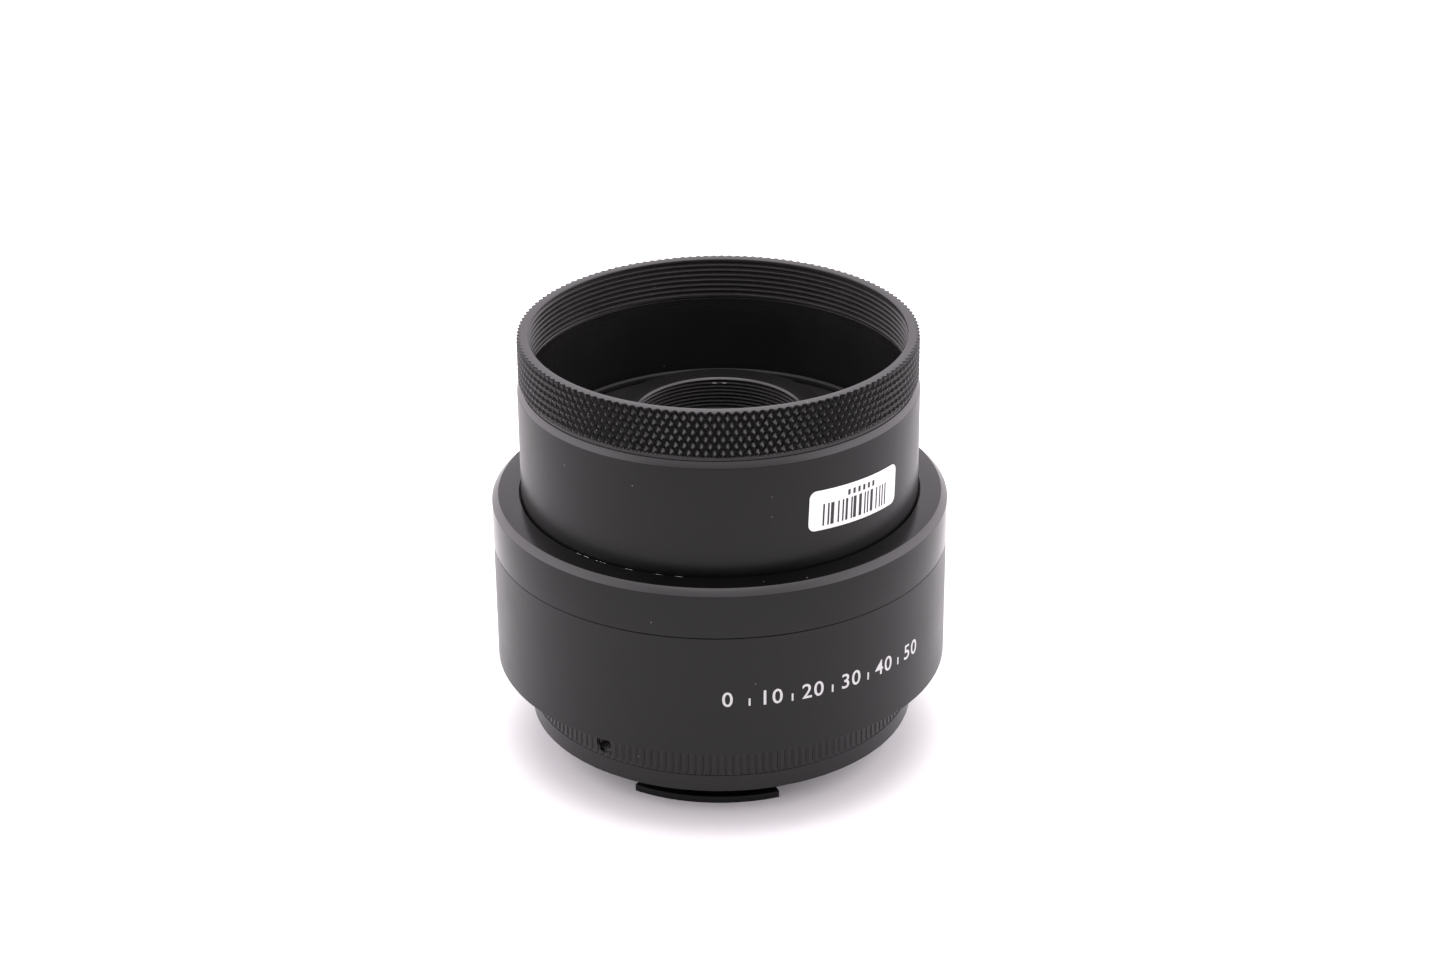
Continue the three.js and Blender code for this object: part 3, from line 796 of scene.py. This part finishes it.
def knurl_patch():
    """The diamond knurl: blunt pyramids between two families of crossing grooves, and its two ends."""
    work = bmesh.new()
    half_turn = TAU / KNURL_COUNT / 2
    low, high = KNURL_BOTTOM + KNURL_END_CHAMFERS[0], RIM_TOP - KNURL_END_CHAMFERS[1]
    valley_r = KNURL_R - KNURL_DEPTH
    rows = range(-1, KNURL_ROWS + 1)

    def point(column, row, radius):
        angle = column * half_turn
        z = RIM_TOP - row * KNURL_ROW
        return work.verts.new((radius * math.cos(angle), radius * math.sin(angle), z))

    columns = 2 * KNURL_COUNT
    valleys = {}
    for j, row in enumerate(rows):
        for i in range(columns):
            if (i + j) % 2 == 0:
                valleys[i, j] = point(i, row, valley_r)
    for j in range(1, len(rows) - 1):
        for i in range(columns):
            if (i + j) % 2 == 1:
                corners, top = [], []
                for right, down in ((1, 0), (0, 1), (-1, 0), (0, -1)):
                    corners.append(valleys[(i + right) % columns, j + down])
                    top.append(point(i + right * KNURL_FLAT, rows[j] + down * KNURL_FLAT, KNURL_R))
                work.faces.new(top)
                for k in range(4):
                    n = (k + 1) % 4
                    work.faces.new((corners[k], corners[n], top[n], top[k]))
    for height, side in ((low, -1), (high, 1)):
        bmesh.ops.bisect_plane(
            work,
            geom=work.verts[:] + work.edges[:] + work.faces[:],
            dist=1e-5,
            plane_co=(0, 0, height),
            plane_no=(0, 0, side),
            clear_outer=True,
        )
    work.verts.index_update()
    points = [v.co.copy() for v in work.verts]
    faces = [tuple(v.index for v in f.verts) for f in work.faces]
    work.free()
    return points, faces, low, high


def edge_ring(points, height):
    """The indices of the points at a height, in order of angle, and their angles."""
    found = [(math.atan2(p.y, p.x) % TAU, k) for k, p in enumerate(points) if abs(p.z - height) < 1e-4]
    found.sort()
    return [k for _, k in found], [angle for angle, _ in found]


def make_front_ring():
    skin = Skin()
    points, faces, low, high = knurl_patch()
    skin.add(points, faces)
    radii = [math.hypot(p.x, p.y) for p in points]
    columns = even_angles(FINE_COLUMNS)
    ends = []
    for height, end in ((high, RIM_TOP), (low, KNURL_BOTTOM)):
        ring, angles = edge_ring(points, height)
        chamfered = KNURL_R - abs(end - height)
        edge = skin.ring(angles, lambda k, ring=ring, most=chamfered: min(radii[ring[k]], most), end)
        skin.strip(ring, edge)
        ends.append((edge, angles))
    valley_r = KNURL_R - KNURL_DEPTH
    thread_top = RIM_TOP - MOUTH_CHAMFER - 0.1
    mouth_outline = soften([
        (valley_r - 0.15, RIM_TOP),
        (MOUTH_R + MOUTH_CHAMFER, RIM_TOP),
        (MOUTH_R, RIM_TOP - MOUTH_CHAMFER),
        (MOUTH_R, thread_top),
    ], closed=False)
    rim, _ = skin.turn(mouth_outline, columns)
    skin.zip(*ends[0], rim, columns)
    thread(skin, columns, MOUTH_THREAD_BOTTOM, thread_top, MOUTH_PITCH, MOUTH_R, MOUTH_THREAD_DEPTH)
    relief_r = MOUTH_R + MOUTH_THREAD_DEPTH + 0.04
    bore_r = BARREL_BORE_R
    spigot_r = REBATE[0] - 0.15
    neck_r = valley_r - 0.05
    skirt_outline = [
        (MOUTH_R, MOUTH_THREAD_BOTTOM),
        (relief_r, MOUTH_THREAD_BOTTOM - 0.1),
        (relief_r, MOUTH_LEDGE_Z),
        (bore_r + 0.04, MOUTH_LEDGE_Z),
        (bore_r, MOUTH_LEDGE_Z - 0.05),
        (bore_r, REBATE[1] + 0.01),
        (spigot_r, REBATE[1] + 0.01),
        (spigot_r, BARREL_TOP + 0.02),
        (neck_r, BARREL_TOP + 0.04),
        (neck_r, KNURL_BOTTOM),
    ]
    _, neck = skin.turn(skirt_outline, columns)
    skin.zip(*ends[1], neck, columns)
    ring = solid("knurled_front_ring_shape", skin)
    finish_piece(ring, RIM_BLACK, "barrel", "black_anodised", ["knurled_front_ring"])
    knurl_top = RIM_TOP - 0.1
    paint_top = RIM_TOP - 0.2
    paint(ring, KNURL_BLACK, lambda radius, height: radius > valley_r and KNURL_BOTTOM < height < knurl_top)
    # The mouth's thread takes the lighter copy of the black, painted light.
    paint(ring, THREAD_PAINTED_LIGHT_BLACK, lambda radius, height: radius < relief_r and MOUTH_LEDGE_Z < height < paint_top)


def make_barrel():
    outline = [
        (HELICOID_R, BARREL_BOTTOM),
        (HELICOID_R, HELICOID_TOP),
        (BARREL_R, HELICOID_TOP),
        (BARREL_R, BARREL_CHAMFER[1]),
        (BARREL_CHAMFER[0], BARREL_TOP),
        (REBATE[0], BARREL_TOP),
        REBATE,
        (BARREL_BORE_R, REBATE[1]),
        (BARREL_BORE_R, LIP_TOP),
        (LIP_R, LIP_TOP),
        (LIP_R, LIP_BOTTOM),
        (BARREL_BORE_R, LIP_BOTTOM),
        (BARREL_BORE_R, BARREL_BOTTOM),
    ]
    seat = (BARREL_BORE_R, REBATE[1])
    barrel = turned_piece("focus_barrel", outline, BLACK, "barrel", "black_anodised", keep=[seat])
    paint(barrel, BORE_BLACK, lambda radius, height: radius < BARREL_BORE_R + 0.05)
    # The barrel's chamfer and top edge take the lighter copy of the black, a painted highlight.
    paint(barrel, EDGE_PAINTED_HIGHLIGHT_BLACK, lambda radius, height: height > BARREL_CHAMFER[1] + 0.05)


def make_carrier_retainer():
    outline = [
        (RETAINER_R, RETAINER_BOTTOM),
        (RETAINER_R, RETAINER_BOTTOM + 0.2),
        (RETAINER_BORE_R + 0.5, RETAINER_TOP),
        (RETAINER_BORE_R + 0.3, RETAINER_TOP),
        (RETAINER_BORE_R, RETAINER_TOP - 0.3),
        (RETAINER_BORE_R, RETAINER_BOTTOM),
    ]
    # The retainer takes the lighter inner black, painted light.
    turned_piece("carrier_retainer", outline, MATT_PAINTED_LIGHT_BLACK, "barrel", "matt_black_anodised")


# -------- stock label

LABEL_SIZE = (18.7, 6.75)
LABEL_CORNER = 1.2
LABEL_THICK = 0.09
LABEL_LIFT = 0.03
LABEL_PLACE = (-48.5, 53.33)
LABEL_TILT = -2.6
BAR_AREA = (13.2, 3.7)
BAR_CENTRE = (-0.15, -0.85)
BAR_WIDTHS = (0.32, 0.32, 0.46, 0.62)
BAR_GAPS = (0.32, 0.4, 0.55)
BLOCK_COUNT = 6
BLOCK_SIZE = (0.5, 0.95)
BLOCK_PITCH = 1.05
BLOCK_CENTRE = (0.6, 1.95)


def on_label(points):
    """Tilts flat label points and wraps them on the barrel."""
    tilt = math.radians(LABEL_TILT)
    turned = [
        (x * math.cos(tilt) - y * math.sin(tilt), x * math.sin(tilt) + y * math.cos(tilt), out)
        for x, y, out in points
    ]
    return wrap(turned, BARREL_R, *LABEL_PLACE)


def label_half_height(x):
    """Half the label's height at a place along it, with its round corners."""
    into_corner = max(0.0, abs(x) - (LABEL_SIZE[0] / 2 - LABEL_CORNER))
    drop = LABEL_CORNER - math.sqrt(max(0.0, LABEL_CORNER ** 2 - into_corner ** 2))
    return LABEL_SIZE[1] / 2 - drop


def label_stations():
    """Places along the label, closer together in its round ends."""
    half = LABEL_SIZE[0] / 2
    ends = [half - LABEL_CORNER * (1 - math.sin(TAU / 4 * k / 8)) for k in range(9)]
    middle = [(half - LABEL_CORNER) * k / 12 for k in range(-11, 12)]
    return [-x for x in reversed(ends)] + middle + ends


def make_label():
    stations = label_stations()
    rows = 5
    points = []
    for x in stations:
        half = label_half_height(x)
        for row in range(rows):
            y = half * (2 * row / (rows - 1) - 1)
            points += [(x, y, LABEL_LIFT), (x, y, LABEL_LIFT + LABEL_THICK)]
    faces = []
    per_station = 2 * rows
    for s in range(len(stations) - 1):
        for row in range(rows - 1):
            k = s * per_station + 2 * row
            faces.append((k + 1, k + 3, k + 3 + per_station, k + 1 + per_station))
            faces.append((k, k + 2, k + 2 + per_station, k + per_station))
        for k in (s * per_station, s * per_station + per_station - 2):
            faces.append((k, k + 1, k + 1 + per_station, k + per_station))
    for s in (0, len(stations) - 1):
        for row in range(rows - 1):
            k = s * per_station + 2 * row
            faces.append((k, k + 1, k + 3, k + 2))
    skin = Skin()
    skin.add(on_label(points), faces)
    label = solid("inventory_label_shape", skin)
    finish_piece(label, PAPER, "barrel", "label_paper", ["inventory_label"])


def print_on_label(skin, width, height, x, y):
    """Adds one printed block to a skin, centred on a place on the label."""
    top = LABEL_LIFT + LABEL_THICK
    points, faces = slab(width, height, top - 0.02, top + 0.008)
    skin.add(on_label([(along + x, up + y, out) for along, up, out in points]), faces)


def make_label_print():
    """Plain bars that encode nothing, and a row of blocks where a stock number would be."""
    random.seed(3)
    skin = Skin()
    x = -BAR_AREA[0] / 2
    while x < BAR_AREA[0] / 2:
        width = random.choice(BAR_WIDTHS)
        print_on_label(skin, width, BAR_AREA[1], BAR_CENTRE[0] + x, BAR_CENTRE[1])
        x += width + random.choice(BAR_GAPS)
    for k in range(BLOCK_COUNT):
        x = BLOCK_PITCH * (k - (BLOCK_COUNT - 1) / 2) + BLOCK_CENTRE[0]
        print_on_label(skin, *BLOCK_SIZE, x, BLOCK_CENTRE[1])
    bars = solid("inventory_label_print", skin)
    finish_piece(bars, BLACK_INK, "barrel", "label_paper")


# -------- lens carrier and cell


def make_carrier():
    outline = [
        (SLEEVE_R, SLEEVE_BOTTOM),
        (SLEEVE_R, DISC_BOTTOM),
        (DISC_R, DISC_BOTTOM),
        (DISC_R, DISC_TOP),
        (DISC_HOLE_R, DISC_TOP),
        (DISC_HOLE_R, DISC_BOTTOM),
        (SLEEVE_BORE_R, DISC_BOTTOM),
        (SLEEVE_BORE_R, SLEEVE_BOTTOM),
    ]
    # The carrier takes the lighter inner black, painted light.
    turned_piece("lens_carrier", outline, MATT_PAINTED_LIGHT_BLACK, "carrier", "matt_black_anodised")


def make_adapter():
    skin = Skin()
    columns = even_angles(FINE_COLUMNS)
    chamfer = 0.28
    thread_top = ADAPTER_TOP - chamfer
    outline = soften([
        (BOSS_HOLE_R, ADAPTER_BOTTOM),
        (SPIGOT_BOSS_R, ADAPTER_BOTTOM),
        (SPIGOT_BOSS_R, DISC_TOP + 0.05),
        (ADAPTER_R, DISC_TOP + 0.05),
        (ADAPTER_R, ADAPTER_TOP - 0.2),
        (ADAPTER_R - 0.2, ADAPTER_TOP),
        (BOSS_HOLE_R + chamfer, ADAPTER_TOP),
        (BOSS_HOLE_R, thread_top),
    ], 0.06, closed=False)
    skin.turn(outline, columns)
    thread(skin, columns, ADAPTER_BOTTOM, thread_top, BOSS_PITCH, BOSS_HOLE_R, BOSS_THREAD_DEPTH)
    adapter = solid("thread_adapter_shape", skin)
    finish_piece(adapter, BOSS_BLACK, "carrier", "black_anodised", ["thread_adapter"])
    thread_r = BOSS_HOLE_R + BOSS_THREAD_DEPTH + 0.05
    # The boss thread takes the lighter copy of the black, painted light.
    paint(adapter, THREAD_PAINTED_LIGHT_BLACK, lambda radius, height: radius < thread_r and height < ADAPTER_TOP - 0.02)


def make_cell():
    spigot_r = 13.35
    seat_z = 37.95
    bore_r = 11.6
    pocket_r = 12.7
    outline = [
        (CELL_R, CELL_BOTTOM),
        (CELL_R, ADAPTER_BOTTOM - 0.05),
        (spigot_r, ADAPTER_BOTTOM - 0.05),
        (spigot_r, CELL_TOP),
        (bore_r, CELL_TOP),
        (bore_r, seat_z),
        (pocket_r, seat_z),
        (pocket_r, CELL_BOTTOM),
    ]
    # The cell parts take the lighter inner black, painted light.
    finish = (MATT_PAINTED_LIGHT_BLACK, "carrier", "matt_black_anodised")
    turned_piece("cell_body", outline, *finish, columns=SMALL_COLUMNS)
    ring_outline = [
        (CELL_RING_BORE_R, CELL_RING_BOTTOM),
        (CELL_RING_R, CELL_RING_BOTTOM),
        (CELL_RING_R, CELL_RING_TOP),
        (CELL_RING_BORE_R, CELL_RING_TOP),
    ]
    ring = solid("cell_retainer_shape", revolve(ring_outline, SMALL_COLUMNS, 0.15))
    for angle in (0, 90):
        notch = peg("notch", 0.6, -CELL_RING_R - 1, CELL_RING_R + 1, 24)
        boolean(ring, turn_to(notch, angle, 0, CELL_RING_BOTTOM, lying=True))
    finish_piece(ring, *finish, ["cell_retainer"])
    baffle_outline = [
        (BAFFLE_BORE_R, BAFFLE_BOTTOM + 0.5),
        (BAFFLE_BORE_R + 0.4, BAFFLE_BOTTOM),
        (CELL_RING_R, BAFFLE_BOTTOM),
        (CELL_RING_R, BAFFLE_TOP),
        (BAFFLE_BORE_R, BAFFLE_TOP),
    ]
    turned_piece("glare_baffle", baffle_outline, *finish, columns=SMALL_COLUMNS)


def lens_face(edge_z, curve, bow):
    """Points of a spherical face from the axis to the lens edge."""
    steps = 20
    edge_sag = curve - math.sqrt(curve ** 2 - LENS_R ** 2)
    face = []
    for step in range(steps + 1):
        radius = LENS_R * step / steps
        sag = curve - math.sqrt(curve ** 2 - radius ** 2)
        face.append((radius, edge_z + bow * (edge_sag - sag)))
    return face


def make_lenses():
    outer_curve = 60
    inner_curve = 45
    cement = 0.08
    lower = lens_face(LENS_EDGE_BOTTOM, inner_curve, 1)
    upper = lens_face(LENS_EDGE_TOP, outer_curve, -1)
    negative = solid("lens_negative_shape", revolve_on_axis(lower + upper[::-1]))
    finish_piece(negative, GLASS, "carrier", "optical_glass", ["lens_negative"])
    crown = lens_face(LENS_EDGE_BOTTOM - cement, inner_curve, 1)
    flat_back = [(0, LENS_BACK), (LENS_R, LENS_BACK)]
    positive = solid("lens_positive_shape", revolve_on_axis(flat_back + crown[::-1]))
    finish_piece(positive, GLASS, "carrier", "optical_glass", ["lens_positive"])


# -------- rear mount


def flute_angles():
    """The angles of each flute: the two edges of its ridge, then the two of its floor."""
    pitch = TAU / FLUTE_COUNT
    half_ridge = FLUTE_RIDGE / 2
    half_floor = FLUTE_FLOOR / 2
    shares = (-half_ridge, half_ridge, 0.5 - half_floor, 0.5 + half_floor)
    return [pitch * (k + 0.5 + share) for k in range(FLUTE_COUNT) for share in shares]


def make_mount_ring():
    skin = Skin()
    flutes = flute_angles()
    columns = even_angles(FINE_COLUMNS)
    top = MOUNT_TOP - GRIP_CHAMFER

    def grooved(depth):
        return lambda k: GRIP_R - (depth if k % 4 > 1 else 0)

    grip = [
        skin.ring(flutes, GRIP_R, GRIP_BOTTOM),
        skin.ring(flutes, grooved(FLUTE_DEPTH), GRIP_BOTTOM + 0.4),
        skin.ring(flutes, grooved(FLUTE_DEPTH), top),
        skin.ring(flutes, GRIP_R - GRIP_CHAMFER, MOUNT_TOP),
    ]
    for lower, upper in zip(grip, grip[1:]):
        skin.strip(lower, upper)
    bore_r = INNER_RING_R + 0.2
    recess_r = BAYONET_R + 0.15
    ceiling = BAYONET_TOP + 0.05
    outline = soften([
        (GRIP_R - GRIP_CHAMFER - 0.2, MOUNT_TOP),
        (bore_r, MOUNT_TOP),
        (bore_r, ceiling),
        (recess_r, ceiling),
        (recess_r, MOUNT_BOTTOM),
        (MOUNT_R, MOUNT_BOTTOM),
        (MOUNT_R, GRIP_BOTTOM),
        (GRIP_R + 0.04, GRIP_BOTTOM),
    ], 0.1, closed=False)
    first, last = skin.turn(outline, columns)
    skin.zip(grip[-1], flutes, first, columns)
    skin.zip(grip[0], flutes, last, columns)
    ring = solid("mount_ring_shape", skin)
    for angle in SET_SCREW_ANGLES:
        drill = peg("drill", SET_SCREW_HOLE_R, INNER_RING_R - SET_SCREW_GROOVE, MOUNT_R + 1)
        boolean(ring, turn_to(drill, angle, 0, SET_SCREW_Z, lying=True))
    # The ring takes the lighter copy of the black: painted light against the shade under the body.
    finish_piece(ring, MOUNT_PAINTED_LIGHT_BLACK, "rear_mount", "black_anodised", ["mount_ring"])


def make_hole_thread(index, angle):
    """The thread in a set screw's hole, as a lining whose outer end follows the ring's surface."""
    skin = Skin()
    columns = even_angles(48)
    inner, outer = INNER_RING_R + 0.25, GRIP_R - FLUTE_DEPTH - 0.05
    wall = SET_SCREW_HOLE_R + 0.02
    crest = SET_SCREW_R - 0.02
    thread(skin, columns, inner, outer, SMALL_THREAD_PITCH, crest, SMALL_THREAD_DEPTH)
    skin.turn([(crest, outer), (wall, outer), (wall, inner), (crest, inner)], columns)
    lining = turn_to(solid(f"set_screw_hole_thread_{index}", skin), angle, 0, SET_SCREW_Z, lying=True)
    finish_piece(lining, GLOSS_BLACK, "rear_mount", "black_anodised")


def make_set_screw(index, angle):
    """A hexagon-socket set screw, wound in until it is well below the ring's surface."""
    tip, end = 25.1, 28.9
    shank_r = SET_SCREW_R - 0.06
    outline = [
        (0, tip),
        (0.35, tip),
        (shank_r, INNER_RING_R + 0.15),
        (shank_r, end - 0.25),
        (SET_SCREW_R - 0.3, end),
        (0, end),
    ]
    screw = solid(f"set_screw_{index}_shape", revolve_on_axis(outline, 48))
    boolean(screw, peg("socket", 0.75, end - 1.6, end + 1, sides=6))
    turn_to(screw, angle, 0, SET_SCREW_Z, lying=True)
    finish_piece(screw, DARK_STEEL, "rear_mount", "black_steel", [f"set_screw_{index}"])


def lug(name, angle):
    """One bayonet lug with broken edges."""
    work = bmesh.new()
    steps = 28
    half = math.radians(LUG_SPAN) / 2
    rings = []
    for z in (BASE, BASE + LUG_HEIGHT):
        outer = [(LUG_R, half * (2 * k / steps - 1)) for k in range(steps + 1)]
        inner = [(LUG_BORE_R, turn) for _, turn in reversed(outer)]
        rings.append([work.verts.new((r * math.cos(t), r * math.sin(t), z)) for r, t in outer + inner])
    count = len(rings[0])
    work.faces.new(rings[0][::-1])
    work.faces.new(rings[1])
    for k in range(count):
        n = (k + 1) % count
        work.faces.new((rings[0][k], rings[0][n], rings[1][n], rings[1][k]))
    rim = [e for e in work.edges if e.calc_face_angle(0) > 0.5]
    bmesh.ops.bevel(work, geom=rim, offset=0.12, segments=2, affect="EDGES")
    bmesh.ops.scale(work, vec=(MM, MM, MM), verts=work.verts)
    mesh = bpy.data.meshes.new(name)
    work.to_mesh(mesh)
    work.free()
    return turn_to(new_object(name, mesh), angle)


def make_bayonet():
    outline = [
        (THROAT_R, THROAT_BOTTOM),
        (THROAT_R, MOUNT_BOTTOM),
        (BAYONET_R, MOUNT_BOTTOM),
        (BAYONET_R, BAYONET_TOP),
        (THROAT_BORE_R, BAYONET_TOP),
        (THROAT_BORE_R, THROAT_BOTTOM),
    ]
    ring = solid("bayonet_ring_shape", revolve(outline, size=0.15))
    for angle in LUG_ANGLES:
        boolean(ring, lug("lug", angle), "UNION")
    for angle in BAYONET_SCREW_ANGLES:
        sink = solid("sink", revolve_on_axis([
            (0, MOUNT_BOTTOM - 0.5),
            (1.5, MOUNT_BOTTOM - 0.5),
            (1.5, MOUNT_BOTTOM),
            (1.4, MOUNT_BOTTOM + 1.1),
            (0, MOUNT_BOTTOM + 1.1),
        ], 48))
        boolean(ring, turn_to(sink, angle, BAYONET_SCREW_PLACE_R))
    finish_piece(ring, GLOSS_BLACK, "rear_mount", "black_anodised", ["bayonet_ring"])


def make_bayonet_screw(index, angle):
    """A small pan-head screw with a cross recess, seen from below."""
    face = MOUNT_BOTTOM + 0.1
    head_r, shank_r = 1.3, 0.75
    outline = [(0, face)]
    outline += [(head_r * math.sin(t), face + 0.3 * (1 - math.cos(t))) for t in (0.3, 0.6, 0.9, 1.2, 1.5)]
    outline += [(head_r, face + 0.9), (shank_r, face + 0.95), (shank_r, face + 1.5), (0, face + 1.5)]
    screw = solid(f"bayonet_screw_{index}_shape", revolve_on_axis(outline, 48))
    for turn in (0, 90):
        blade = solid("blade", revolve_on_axis([(0, -0.8), (0.17, -0.8), (0.17, 0.8), (0, 0.8)], 4))
        boolean(screw, turn_to(blade, turn, 0, face + 0.15, lying=True))
    turn_to(screw, angle, BAYONET_SCREW_PLACE_R)
    finish_piece(screw, DARK_STEEL, "rear_mount", "black_steel", [f"bayonet_screw_{index}"])


# -------- whole unit

make_body()
make_collar()
make_felt()
make_inner_ring()
make_scale()
make_front_ring()
make_barrel()
make_carrier_retainer()
make_label()
make_label_print()
make_carrier()
make_adapter()
make_cell()
make_lenses()
make_mount_ring()
make_bayonet()
for number, place in enumerate(SET_SCREW_ANGLES, 1):
    make_set_screw(number, place)
    make_hole_thread(number, place)
for number, place in enumerate(BAYONET_SCREW_ANGLES, 1):
    make_bayonet_screw(number, place)

HIDDEN_FINISHES = {"helicoid_nut": BRASS, "guide_sleeve": MATT_PAINTED_LIGHT_BLACK, "adapter_lock_ring": BLACK}
for number in (1, 2, 3):
    HIDDEN_FINISHES[f"guide_sleeve_screw_{number}"] = DARK_STEEL
    HIDDEN_FINISHES[f"guide_key_{number}"] = BRASS
for name, finish in HIDDEN_FINISHES.items():
    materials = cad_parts[name].data.materials
    materials.clear()
    materials.append(finish)


# -------- floor, light and camera

FLOOR_SIZE = 3.0
FLOOR_GLOW = (0.085, 0.08, 0.085, 1)
SKY_TINT = (1.07, 1.0, 1.06, 1)
SKY_LOW_FRONT = 0.25
SKY = 1.6
SKY_SIDES = 3.1
CAMERA_PLACE = (0.00049, -0.43835, 0.25828)
CAMERA_PITCH = -25.95
CAMERA_ROLL = -0.49
CAMERA_LENS = 74.28


def make_floor():
    nodes = Nodes("paper_sweep")
    clouds = nodes.noise(nodes.place, 6, 3)
    nodes.set(
        base_color=nodes.mix(clouds, grey(0.68), grey(0.71)),
        roughness=0.8,
        emission_color=FLOOR_GLOW,
        emission_strength=1.0,
    )
    half = FLOOR_SIZE / 2
    mesh = bpy.data.meshes.new("floor")
    corners = [(-half, -half, 0), (half, -half, 0), (half, half, 0), (-half, half, 0)]
    mesh.from_pydata(corners, [], [(0, 1, 2, 3)])
    mesh.materials.append(nodes.material)
    floor = new_object("floor", mesh)


def make_light():
    scene = bpy.context.scene
    scene.view_settings.view_transform = "Standard"
    world = bpy.data.worlds.new("studio")
    world.use_nodes = True
    tree = world.node_tree
    background = tree.nodes["Background"]
    background.inputs["Color"].default_value = SKY_TINT
    place = tree.nodes.new("ShaderNodeTexCoord")
    parts = tree.nodes.new("ShaderNodeSeparateXYZ")
    tree.links.new(place.outputs["Generated"], parts.inputs[0])
    front = map_range(tree, parts.outputs[2], (0.4, 0.9), (SKY_LOW_FRONT, SKY))
    sides = tree.nodes.new("ShaderNodeMath")
    sides.operation = "ABSOLUTE"
    tree.links.new(parts.outputs[0], sides.inputs[0])
    back = map_range(tree, sides.outputs[0], (0.45, 0.85), (SKY, SKY_SIDES))
    strength = map_range(tree, parts.outputs[1], (-0.85, -0.35), (front, back))
    tree.links.new(strength, background.inputs["Strength"])
    scene.world = world
    soft_box("top_light", (0, 0.15, 1.0), (0, 0, 0), 1.0, 9.0)


def map_range(tree, value, span, results):
    node = tree.nodes.new("ShaderNodeMapRange")
    tree.links.new(value, node.inputs["Value"])
    node.inputs["From Min"].default_value, node.inputs["From Max"].default_value = span
    for key, result in zip(("To Min", "To Max"), results):
        if isinstance(result, float):
            node.inputs[key].default_value = result
        else:
            tree.links.new(result, node.inputs[key])
    return node.outputs["Result"]


def soft_box(name, place, target, size, power):
    light = bpy.data.lights.new(name, "AREA")
    light.shape = "DISK"
    light.size = size
    light.energy = power
    lamp = new_object(name, light)
    lamp.location = place
    aim = Vector(target) - Vector(place)
    lamp.rotation_euler = aim.to_track_quat("-Z", "Y").to_euler()


def make_camera():
    data = bpy.data.cameras.new("camera")
    data.lens = CAMERA_LENS
    data.sensor_width = 36
    data.clip_start = 0.01
    camera = new_object("camera", data)
    camera.location = CAMERA_PLACE
    level = Euler((math.radians(90 + CAMERA_PITCH), 0, 0)).to_matrix()
    roll = Euler((0, 0, math.radians(CAMERA_ROLL))).to_matrix()
    camera.rotation_euler = (level @ roll).to_euler()
    bpy.context.scene.camera = camera


make_floor()
make_light()
make_camera()
